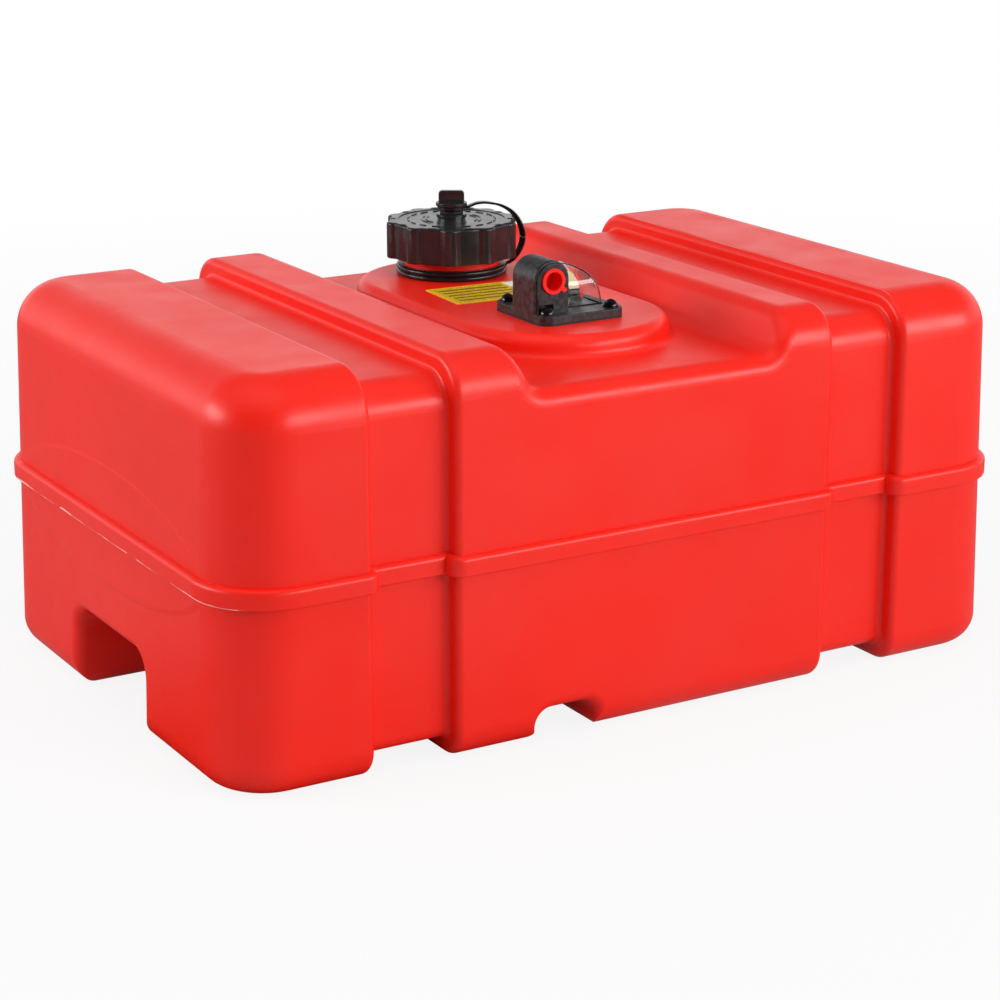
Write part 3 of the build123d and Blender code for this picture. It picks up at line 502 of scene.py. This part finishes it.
@dataclass(frozen=True)
class DrawnSteel:
    """Drawn wire or pin steel with fine lengthwise lines."""

    name: str = "steel_wire"
    colour: Colour = (0.55, 0.55, 0.56)
    roughness: float = 0.32
    spread: Pair = (-0.08, 0.1)
    lines: Noise = Noise(900.0, 2.0, (0.05, 1.0, 1.0))
    lines_edge: Pair = (0.3, 0.7)
    lines_bump: Bump = Bump(0.15, 0.00002)
    stain: Noise = Noise(90.0, 3.0)
    stain_share: Span = Span(0.45, 0.7, 0.0, 0.3)
    stain_colour: Colour = (0.35, 0.33, 0.3)

    def make(self) -> bpy.types.Material:
        """Build the material.

        Returns:
            The finished material.
        """
        nodes = MaterialNodes(self.name)
        lines = nodes.noise(self.lines)
        stain = nodes.ramp(nodes.noise(self.stain), self.stain_share)
        polish = Span(*self.lines_edge, *(self.roughness + off for off in self.spread))
        nodes.set(Base_Color=nodes.blend(stain, self.colour, self.stain_colour),
                  Roughness=nodes.ramp(lines, polish), Metallic=1.0)
        nodes.bumps([(lines, self.lines_bump)])
        return nodes.material


@dataclass(frozen=True)
class ClearLens:
    """Clear moulded lens, very slightly uneven."""

    name: str = "clear_lens"
    haze_colour: Colour = (0.93, 0.95, 0.95)
    haze: Noise = Noise(300.0, 3.0)
    haze_share: Span = Span(0.4, 0.7, 0.0, 0.4)
    haze_roughness: Span = Span(0.4, 0.7, 0.03, 0.08)
    wave: Noise = Noise(60.0, 2.0)
    wave_bump: Bump = Bump(0.08, 0.0005)
    refraction: float = 1.49

    def make(self) -> bpy.types.Material:
        """Build the material.

        Returns:
            The finished material.
        """
        nodes = MaterialNodes(self.name)
        wave, haze = nodes.noise(self.wave), nodes.noise(self.haze)
        tint = nodes.blend(nodes.ramp(haze, self.haze_share), WHITE, self.haze_colour)
        nodes.set(Base_Color=tint, Roughness=nodes.ramp(haze, self.haze_roughness),
                  IOR=self.refraction, Transmission_Weight=1.0)
        nodes.bumps([(wave, self.wave_bump)])
        return nodes.material


@dataclass(frozen=True)
class PrintedSticker:
    """Vinyl sticker face with ruled rows of short dashes in place of words."""

    name: str = "yellow_label"
    colour: Colour = (0.80, 0.50, 0.008)
    ink: Colour = (0.13, 0.085, 0.008)
    ink_share: float = 0.8
    middle: Point = (-0.001, 0.014, 0.25)
    turn: float = math.radians(-3.0)
    half: Pair = (0.034, 0.023)
    row_pitch: float = 0.0026
    row_ink: Pair = (0.30, 0.72)
    row_offset: float = 7.31
    dash_length: float = 0.0030
    dash_scale: float = 2.3
    dash_detail: float = 1.0
    dash_limit: float = 0.46
    rub: Noise = Noise(180.0, 4.0)
    rub_share: Span = Span(0.4, 0.7, 0.0, 0.25)
    rub_colour: Colour = (0.78, 0.50, 0.03)
    rub_roughness: Span = Span(0.3, 0.7, 0.35, 0.5)
    rub_bump: Bump = Bump(0.1, 0.0001)

    def rows(self, nodes: NodeTree) -> Socket:
        """Rows of dashes on the sticker's face.

        Args:
            nodes: Node tree of the material.

        Returns:
            1 where there is ink.
        """
        turned = nodes.add("ShaderNodeMapping", vector_type="TEXTURE")
        nodes.feed(self.middle, turned.inputs["Location"])
        nodes.feed((0.0, 0.0, self.turn), turned.inputs["Rotation"])
        nodes.feed(nodes.place, turned.inputs["Vector"])
        across, along = [nodes.axis(name, turned.outputs["Vector"]) for name in "XY"]
        rows = nodes.math("DIVIDE", along, self.row_pitch)
        row = nodes.math("FRACT", rows)
        seed = nodes.add("ShaderNodeCombineXYZ")
        nodes.feed(nodes.math("DIVIDE", across, self.dash_length), seed.inputs["X"])
        nodes.feed(nodes.math("MULTIPLY", nodes.math("FLOOR", rows), self.row_offset), seed.inputs["Y"])
        dashes = nodes.add("ShaderNodeTexNoise", noise_dimensions="2D")
        nodes.feed(self.dash_scale, dashes.inputs["Scale"])
        nodes.feed(self.dash_detail, dashes.inputs["Detail"])
        nodes.feed(seed.outputs["Vector"], dashes.inputs["Vector"])
        ink = nodes.math("GREATER_THAN", dashes.outputs["Fac"], self.dash_limit)
        for limit in (nodes.math("GREATER_THAN", row, self.row_ink[0]),
                      nodes.math("LESS_THAN", row, self.row_ink[1]),
                      nodes.math("LESS_THAN", nodes.math("ABSOLUTE", across), self.half[0]),
                      nodes.math("LESS_THAN", nodes.math("ABSOLUTE", along), self.half[1])):
            ink = nodes.math("MULTIPLY", ink, limit)
        return ink

    def make(self) -> bpy.types.Material:
        """Build the material.

        Returns:
            The finished material.
        """
        nodes = MaterialNodes(self.name)
        rub = nodes.noise(self.rub)
        base = nodes.blend(nodes.ramp(rub, self.rub_share), self.colour, self.rub_colour)
        base = nodes.blend(nodes.math("MULTIPLY", self.rows(nodes), self.ink_share), base, self.ink)
        nodes.set(Base_Color=base, Roughness=nodes.ramp(rub, self.rub_roughness))
        nodes.bumps([(rub, self.rub_bump)])
        return nodes.material


class Finish(Enum):
    """Finishes of the tank, one for each material slot of the record."""

    RED_TANK = BlownTankPlastic()
    BLACK_CAP = MouldedPlastic("black_cap", (0.017, 0.017, 0.018), (0.026, 0.026, 0.027),
                               roughness=0.19, spread=0.04, grain=0.05)
    BLACK_KEEPER = MouldedPlastic("black_keeper", (0.008, 0.008, 0.009), (0.02, 0.02, 0.021),
                                  roughness=0.24, spread=0.05, grain=0.08)
    BLACK_PICKUP = MouldedPlastic("black_pickup", (0.010, 0.010, 0.011), (0.055, 0.055, 0.058),
                                  spread=0.09, grain=0.3, mottle=0.75, cloud_scale=330.0)
    BLACK_GAUGE = MouldedPlastic("black_gauge", (0.010, 0.010, 0.010), (0.025, 0.025, 0.025))
    BLACK_SCREW = MouldedPlastic("black_screw", (0.004, 0.004, 0.004), (0.010, 0.010, 0.010),
                                 roughness=0.12, spread=0.03, grain=0.05)
    RUBBER_SEAL = MouldedPlastic("rubber_seal", (0.012, 0.012, 0.012), (0.025, 0.025, 0.025),
                                 roughness=0.65, spread=0.08, grain=0.35)
    RED_PLUG = MouldedPlastic("red_plug", (0.87, 0.010, 0.004), (0.76, 0.008, 0.004),
                              roughness=0.36, spread=0.05, grain=0.12)
    CREAM_SCALE = MouldedPlastic("cream_scale", (0.82, 0.68, 0.38), (0.72, 0.56, 0.27), roughness=0.5)
    FLOAT_FOAM = MouldedPlastic("float_foam", (0.03, 0.03, 0.03), (0.06, 0.06, 0.06),
                                roughness=0.8, spread=0.08, grain=0.8, mottle=0.6, cloud_scale=500.0)
    NATURAL_TUBE = MouldedPlastic("natural_tube", (0.75, 0.75, 0.70), (0.68, 0.67, 0.60), roughness=0.45)
    WHITE_STRAINER = MouldedPlastic("white_strainer", (0.8, 0.8, 0.78), (0.72, 0.72, 0.68), roughness=0.5)
    WHITE_PRINT = MouldedPlastic("white_print", (0.82, 0.82, 0.80), (0.7, 0.7, 0.66),
                                 roughness=0.45, spread=0.05, grain=0.1, mottle=0.4, cloud_scale=900.0)
    DARK_PRINT = MouldedPlastic("dark_print", (0.17, 0.11, 0.010), (0.28, 0.18, 0.012), roughness=0.5)
    YELLOW_LABEL = PrintedSticker()
    CLEAR_LENS = ClearLens()
    STEEL_WIRE = DrawnSteel()
    STEEL_PIN = DrawnSteel("steel_pin", (0.6, 0.6, 0.6), roughness=0.28)


class Paints:
    """Makes each finish once and puts it on pieces and carried-over nodes."""

    def __init__(self) -> None:
        """Start with no material made."""
        self.made: dict[Finish, bpy.types.Material] = {}

    def of(self, finish: Finish) -> bpy.types.Material:
        """Material of a finish, made at its first use.

        Args:
            finish: The finish.

        Returns:
            Its material.
        """
        if finish not in self.made:
            self.made[finish] = finish.value.make()
        return self.made[finish]

    def dress(self, piece: bpy.types.Object, finish: Finish) -> None:
        """Put a finish on a piece.

        Args:
            piece: The object to dress.
            finish: The finish that it gets.
        """
        piece.data.materials.clear()
        piece.data.materials.append(self.of(finish))
        log.info("%s wears %s", piece.name, finish.value.name)

    def dress_nodes(self) -> None:
        """Dress every carried-over node by the slot that the record gives it."""
        by_name = {finish.value.name: finish for finish in Finish}
        for entry in frame["record"]["subparts"]:
            self.dress(frame["nodes"][entry["node"]], by_name[entry["material_slot"]])


# ------------------------------------------------------------------ modelling helpers
def clear_selection() -> None:
    """Leave every object unselected and Blender in object mode."""
    if bpy.context.object is not None and bpy.context.object.mode != "OBJECT":
        bpy.ops.object.mode_set(mode="OBJECT")
    bpy.ops.object.select_all(action="DESELECT")


def pick(piece: bpy.types.Object) -> None:
    """Select one piece alone and make it active.

    Args:
        piece: The object to work on.
    """
    clear_selection()
    piece.select_set(True)
    bpy.context.view_layer.objects.active = piece


def settle(piece: bpy.types.Object) -> None:
    """Put a piece's place, turn and scale into its mesh.

    Args:
        piece: The object to settle.
    """
    pick(piece)
    bpy.ops.object.transform_apply(location=True, rotation=True, scale=True)


def join(pieces: Sequence[bpy.types.Object], name: str) -> bpy.types.Object:
    """Join pieces into one object.

    Args:
        pieces: The objects to join.
        name: Name of the result.

    Returns:
        The joined object.
    """
    clear_selection()
    for piece in pieces:
        piece.select_set(True)
    bpy.context.view_layer.objects.active = pieces[0]
    bpy.ops.object.join()
    joined = bpy.context.object
    joined.name = name
    joined.data.name = name
    return joined


def smooth(piece: bpy.types.Object, angle: float = 40.0) -> None:
    """Shade smooth up to an angle between faces.

    Args:
        piece: The object to shade.
        angle: Largest angle in degrees that is still smooth.
    """
    pick(piece)
    bpy.ops.object.shade_smooth_by_angle(angle=math.radians(angle))


def point_outwards(piece: bpy.types.Object, merge_distance: float = 1e-6) -> None:
    """Merge doubles and turn every face of a closed piece outwards.

    Args:
        piece: The object to mend.
        merge_distance: Distance in metres under which two corners are one.
    """
    pick(piece)
    bpy.ops.object.mode_set(mode="EDIT")
    bpy.ops.mesh.select_all(action="SELECT")
    bpy.ops.mesh.remove_doubles(threshold=merge_distance)
    bpy.ops.mesh.normals_make_consistent(inside=False)
    bpy.ops.object.mode_set(mode="OBJECT")


def cut_away(piece: bpy.types.Object, point: Point, normal: Point) -> None:
    """Cut a piece by a plane, delete the side that the normal points to and close the cut.

    Args:
        piece: The object to cut.
        point: Point on the plane.
        normal: Direction of the side that goes.
    """
    pick(piece)
    bpy.ops.object.mode_set(mode="EDIT")
    bpy.ops.mesh.select_all(action="SELECT")
    bpy.ops.mesh.bisect(plane_co=point, plane_no=normal, use_fill=True, clear_outer=True)
    bpy.ops.object.mode_set(mode="OBJECT")


# ------------------------------------------------------------------ filler
@dataclass
class CapRelief:
    """Raised dashes, arcs and studs moulded on the top of the filler cap."""

    paints: Paints
    centre: Pair = FILLER_CENTRE
    dish_level: float = 0.2884
    dash_radius: float = 0.0315
    dash_count: int = 18
    dash_share: float = 0.55
    arc_radii: Pair = (0.0215, 0.0185)
    arc_middle: float = -20.0
    arc_angle: float = 70.0
    rib: float = 0.00065
    ring_segments: int = 96
    rib_segments: int = 8
    stud_count: int = 10
    stud_direction: float = -12.6
    stud_reach: float = 0.0418
    stud_level: float = 0.289
    stud_sunk: float = 0.0001
    stud_half: Point = (0.0022, 0.0034, 0.00045)
    stud_segments: int = 24
    stud_rings: int = 12

    def stud(self, direction: float) -> bpy.types.Object:
        """One low oval stud near the cap's edge.

        Args:
            direction: Direction from the cap's middle in degrees.

        Returns:
            The stud, settled at the origin.
        """
        clear_selection()
        turn = math.radians(direction)
        place = (self.centre[0] + self.stud_reach * math.cos(turn),
                 self.centre[1] + self.stud_reach * math.sin(turn), self.stud_level)
        bpy.ops.mesh.primitive_uv_sphere_add(segments=self.stud_segments, ring_count=self.stud_rings,
                                             radius=1.0, location=place, rotation=(0.0, 0.0, turn),
                                             scale=self.stud_half)
        stud = bpy.context.object
        settle(stud)
        cut_away(stud, (0.0, 0.0, self.stud_level - self.stud_sunk), (0.0, 0.0, -1.0))
        return stud

    def arc(self, radius: float, middle: float, angle: float) -> bpy.types.Object:
        """One raised arc cut from a thin ring.

        Args:
            radius: Radius of the arc.
            middle: Direction of its middle in degrees.
            angle: Length of the arc in degrees, under 180.

        Returns:
            The arc, settled at the origin.
        """
        clear_selection()
        place = (*self.centre, self.dish_level)
        bpy.ops.mesh.primitive_torus_add(location=place, major_radius=radius, minor_radius=self.rib,
                                         major_segments=self.ring_segments, minor_segments=self.rib_segments)
        ring = bpy.context.object
        settle(ring)
        for side in (-1, 1):
            turn = math.radians(middle + side * angle / 2)
            cut_away(ring, place, (-side * math.sin(turn), side * math.cos(turn), 0.0))
        return ring

    def build(self) -> list[bpy.types.Object]:
        """Build the relief.

        Returns:
            The relief, riding on the cap.
        """
        step = 360 / self.dash_count
        arcs = [self.arc(self.dash_radius, index * step, step * self.dash_share)
                for index in range(self.dash_count)]
        arcs += [self.arc(radius, middle, self.arc_angle)
                 for radius in self.arc_radii for middle in (self.arc_middle, self.arc_middle + 180)]
        between = 360 / self.stud_count
        studs = [self.stud(self.stud_direction + (index + 0.5) * between) for index in range(self.stud_count)]
        relief = join(arcs + studs, "cap_relief")
        point_outwards(relief)
        smooth(relief)
        self.paints.dress(relief, Finish.BLACK_CAP)
        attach(relief, "cap")
        return [relief]


@dataclass
class KeeperStrap:
    """Flexible strap of the cap keeper: a flat band that twists on its way round the cap's edge.

    The route gives the reach from the cap's middle, the level and the tilt in degrees at each bend.
    """

    paints: Paints
    centre: Pair = FILLER_CENTRE
    direction: float = math.radians(-30.6)
    width: float = 0.0078
    thickness: float = 0.0016
    bend_steps: int = 8
    edge_steps: int = 3
    smooth_angle: float = 50.0
    route: tuple[Point, ...] = (
        (0.0104, 0.2969, 90.0), (0.0135, 0.2982, 90.0), (0.0190, 0.3001, 88.0), (0.0290, 0.2998, 82.0),
        (0.0386, 0.2968, 74.0), (0.0456, 0.2911, 66.0), (0.0499, 0.2832, 62.0), (0.0512, 0.2761, 62.0),
        (0.0499, 0.2690, 66.0), (0.0463, 0.2622, 74.0), (0.0425, 0.2580, 84.0), (0.0392, 0.2565, 90.0))

    def build(self) -> list[bpy.types.Object]:
        """Build the strap.

        Returns:
            The strap, bending between the tank and the keeper's eye.
        """
        clear_selection()
        data = bpy.data.curves.new("keeper_strap", "CURVE")
        data.dimensions = "3D"
        data.resolution_u = self.bend_steps
        data.extrude = self.width / 2 - self.thickness / 2
        data.bevel_depth = self.thickness / 2
        data.bevel_resolution = self.edge_steps
        data.use_fill_caps = True
        data.twist_mode = "Z_UP"
        spline = data.splines.new("BEZIER")
        spline.bezier_points.add(len(self.route) - 1)
        for point, (reach, level, tilt) in zip(spline.bezier_points, self.route):
            point.co = (reach, 0.0, level)
            point.tilt = math.radians(tilt)
            point.handle_left_type = point.handle_right_type = "AUTO"
        strap = bpy.data.objects.new("keeper_strap", data)
        bpy.context.scene.collection.objects.link(strap)
        pick(strap)
        bpy.ops.object.convert(target="MESH")
        strap = bpy.context.object
        strap.rotation_euler = (0.0, 0.0, self.direction)
        strap.location = (*self.centre, 0.0)
        settle(strap)
        point_outwards(strap)
        smooth(strap, self.smooth_angle)
        self.paints.dress(strap, Finish.BLACK_KEEPER)
        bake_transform(strap)
        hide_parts("tether_strap")
        return [strap]


# ------------------------------------------------------------------ gauge
@dataclass
class GaugeWindow:
    """Fixed curved strips in front of the gauge wheel: a pale one, black ribs and a red line."""

    paints: Paints
    pin: Pair = (-0.06425, 0.2629)
    reach: float = 0.0146
    thickness: float = 0.0005
    rounding_share: float = 0.25
    rounding_steps: int = 2
    ring_segments: int = 180
    left: float = 0.0070
    right: float = 0.0149
    line_right: float = 0.0172
    line_angles: Pair = (-4.0, 62.0)
    pale_angles: Pair = (20.0, 54.0)
    black_angles: Pair = (-26.0, 19.0)
    ribs: int = 3
    rib_share: float = 0.86
    rib_stagger: float = 0.0006
    rib_rise: float = 0.00008

    def strip(self, name: str, left: float, right: float, angles: Pair, reach: float) -> bpy.types.Object:
        """Curved strip round the gauge pin.

        Args:
            name: Name of the strip.
            left: Lowest X.
            right: Highest X.
            angles: Lowest and highest angle above the level, seen from the front.
            reach: Distance from the pin to the middle of the strip's thickness.

        Returns:
            The strip, settled at the origin.
        """
        clear_selection()
        bpy.ops.mesh.primitive_circle_add(vertices=self.ring_segments, radius=reach,
                                          location=(left, *self.pin), rotation=(0.0, math.pi / 2, 0.0))
        piece = bpy.context.object
        piece.name = name
        settle(piece)
        bpy.ops.object.mode_set(mode="EDIT")
        mesh = bmesh.from_edit_mesh(piece.data)
        for vertex in mesh.verts:
            angle = math.degrees(math.atan2(vertex.co.z - self.pin[1], self.pin[0] - vertex.co.y))
            vertex.select_set(not angles[0] <= angle <= angles[1])
        mesh.select_flush_mode()
        bmesh.update_edit_mesh(piece.data)
        bpy.ops.mesh.delete(type="VERT")
        bpy.ops.mesh.select_all(action="SELECT")
        bpy.ops.mesh.extrude_region_move(TRANSFORM_OT_translate={"value": (right - left, 0.0, 0.0)})
        bpy.ops.object.mode_set(mode="OBJECT")
        point_outwards(piece)
        thicken = piece.modifiers.new("thickness", "SOLIDIFY")
        thicken.thickness = self.thickness
        thicken.offset = 0.0
        bpy.ops.object.modifier_apply(modifier=thicken.name)
        rounding = piece.modifiers.new("rounding", "BEVEL")
        rounding.width = self.thickness * self.rounding_share
        rounding.segments = self.rounding_steps
        bpy.ops.object.modifier_apply(modifier=rounding.name)
        smooth(piece)
        return piece

    def rib(self, index: int) -> bpy.types.Object:
        """One black rib, counted from the top and shorter than the one above it.

        Args:
            index: Number of the rib, from 0.

        Returns:
            The rib, settled at the origin.
        """
        step = (self.black_angles[1] - self.black_angles[0]) / self.ribs
        angles = (self.black_angles[1] - step * (index + self.rib_share), self.black_angles[1] - step * index)
        return self.strip("gauge_rib", self.left, self.right - self.rib_stagger * index, angles,
                          self.reach + self.rib_rise)

    def build(self) -> list[bpy.types.Object]:
        """Build the strips.

        Returns:
            The pieces, riding on the tank.
        """
        pale = self.strip("gauge_window", self.left, self.right, self.pale_angles, self.reach)
        line = self.strip("gauge_line", self.right, self.line_right, self.line_angles, self.reach)
        black = join([self.rib(index) for index in range(self.ribs)], "gauge_ribs")
        pieces = ((pale, Finish.CREAM_SCALE), (line, Finish.RED_PLUG), (black, Finish.BLACK_GAUGE))
        for piece, finish in pieces:
            self.paints.dress(piece, finish)
            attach(piece, "tank")
        return [pale, line, black]


# ------------------------------------------------------------------ studio
@dataclass
class Softbox:
    """Rectangular lamp aimed at a point."""

    name: str
    place: Point
    target: Point
    size: Pair
    power: float
    mirrored: bool = True

    def build(self) -> None:
        """Add the lamp to the scene."""
        data = bpy.data.lights.new(self.name, "AREA")
        data.shape = "RECTANGLE"
        data.size, data.size_y = self.size
        data.energy = self.power
        lamp = bpy.data.objects.new(self.name, data)
        lamp.location = self.place
        way = Vector(self.target) - Vector(self.place)
        lamp.rotation_euler = way.to_track_quat("-Z", "Y").to_euler()
        lamp.visible_glossy = self.mirrored
        bpy.context.scene.collection.objects.link(lamp)


@dataclass
class Studio:
    """Pale floor, even light and the camera."""

    azimuth: float = math.radians(-30.63)
    elevation: float = math.radians(16.83)
    place: Point = (-0.8949, -1.5111, 0.6334)
    focal_pixels: float = 2586.1
    frame_pixels: float = 1000.0
    sensor: float = 36.0
    sight: float = 100.0
    floor_size: float = 30.0
    floor_drop: float = 0.0004
    floor_colour: Colour = (0.66, 0.66, 0.66)
    floor_roughness: float = 0.9
    floor_shown: Span = Span(0.55, 1.8, 0.88, 1.0)
    floor_mirror: float = 0.28
    world_light: float = 0.50
    ceiling: Span = Span(0.22, 0.50, 1.0, 0.12)
    dim_side: Point = (-0.80, -0.60, 0.0)
    dim_edge: Span = Span(0.45, 0.90, 1.0, 0.0)
    dim_light: Span = Span(0.0, 1.0, 0.35, 1.0)
    softboxes: list[Softbox] = field(default_factory=lambda: [
        Softbox("front_softbox", (1.30, -2.15, 0.95), (0.05, 0.0, 0.15), (2.2, 0.7), power=27.0),
        Softbox("front_fill", (1.30, -2.15, 0.95), (0.05, 0.0, 0.15), (2.2, 0.7), power=22.0, mirrored=False),
        Softbox("left_softbox", (-2.3, 0.95, 0.95), (-0.2, 0.0, 0.15), (1.6, 0.5), power=22.0),
        Softbox("left_fill", (-2.3, 0.95, 0.95), (-0.2, 0.0, 0.15), (1.6, 0.5), power=12.0, mirrored=False),
        Softbox("high_softbox", (-0.6, -0.6, 2.4), (0.0, 0.0, 0.2), (2.2, 2.2), power=26.0, mirrored=False),
    ])

    def build(self) -> None:
        """Build the whole studio."""
        scene = bpy.context.scene
        scene.view_settings.view_transform = "Standard"
        self.build_camera(scene)
        self.build_floor()
        self.build_world(scene)
        for softbox in self.softboxes:
            softbox.build()

    def build_camera(self, scene: bpy.types.Scene) -> None:
        """Add the camera.

        Args:
            scene: The scene that looks through it.
        """
        data = bpy.data.cameras.new("camera")
        data.sensor_width = self.sensor
        data.sensor_fit = "HORIZONTAL"
        data.lens = self.focal_pixels / self.frame_pixels * self.sensor
        data.clip_end = self.sight
        camera = bpy.data.objects.new("camera", data)
        camera.location = self.place
        camera.rotation_euler = (math.pi / 2 - self.elevation, 0.0, self.azimuth)
        scene.collection.objects.link(camera)
        scene.camera = camera

    def fade(self, nodes: NodeTree) -> Socket:
        """Share of the mirrored light that comes from a side, lower toward the dim side.

        Args:
            nodes: Node tree of the floor or the world.

        Returns:
            The share, 1 all round but near the dim side.
        """
        level_way = nodes.vector("NORMALIZE", nodes.vector("MULTIPLY", nodes.place, (1.0, 1.0, 0.0)))
        return nodes.ramp(nodes.vector("DOT_PRODUCT", level_way, self.dim_side), self.dim_edge)

    def build_floor(self) -> None:
        """Add the pale floor, which shows almost white, keeps a soft shadow and mirrors dimly."""
        bpy.ops.mesh.primitive_plane_add(size=self.floor_size, location=(0.0, 0.0, -self.floor_drop))
        floor = bpy.context.object
        floor.name = "floor"
        nodes = MaterialNodes("studio_floor")
        nodes.set(Base_Color=self.floor_colour, Roughness=self.floor_roughness)
        direct, mirrored = nodes.rays()
        shown = nodes.ramp(nodes.vector("LENGTH", nodes.place), self.floor_shown)
        dim = nodes.math("MULTIPLY", self.fade(nodes), self.floor_mirror)
        glow = nodes.add("ShaderNodeEmission")
        nodes.feed(nodes.mix(mirrored, 1.0, dim), glow.inputs["Strength"])
        surface = nodes.add("ShaderNodeMixShader")
        plain = nodes.math("MAXIMUM", nodes.math("MULTIPLY", direct, shown), mirrored)
        nodes.feed(plain, surface.inputs["Fac"])
        nodes.feed(nodes.shader.outputs["BSDF"], surface.inputs[1])
        nodes.feed(glow.outputs["Emission"], surface.inputs[2])
        nodes.feed(surface.outputs["Shader"], nodes.output.inputs["Surface"])
        floor.data.materials.append(nodes.material)

    def build_world(self, scene: bpy.types.Scene) -> None:
        """White surroundings under a darker ceiling, plain white where they are seen directly.

        Args:
            scene: The scene that gets the world.
        """
        nodes = WorldNodes("studio_world")
        direct, mirrored = nodes.rays()
        side = self.fade(nodes)
        wall = nodes.math("MULTIPLY", nodes.ramp(nodes.axis("Z"), self.ceiling), side)
        lit = nodes.math("MULTIPLY", nodes.ramp(side, self.dim_light), self.world_light)
        nodes.set(Strength=nodes.mix(direct, nodes.mix(mirrored, lit, wall), 1.0))
        scene.world = nodes.world


def main() -> None:
    """Dress the tank and build the studio."""
    logging.basicConfig(level=logging.INFO, format="%(message)s")
    paints = Paints()
    paints.dress_nodes()
    for maker in (CapRelief(paints), KeeperStrap(paints), GaugeWindow(paints)):
        for piece in maker.build():
            log.info("%s built %s with %d faces", type(maker).__name__, piece.name, len(piece.data.polygons))
    Studio().build()


if __name__ == "__main__":
    main()
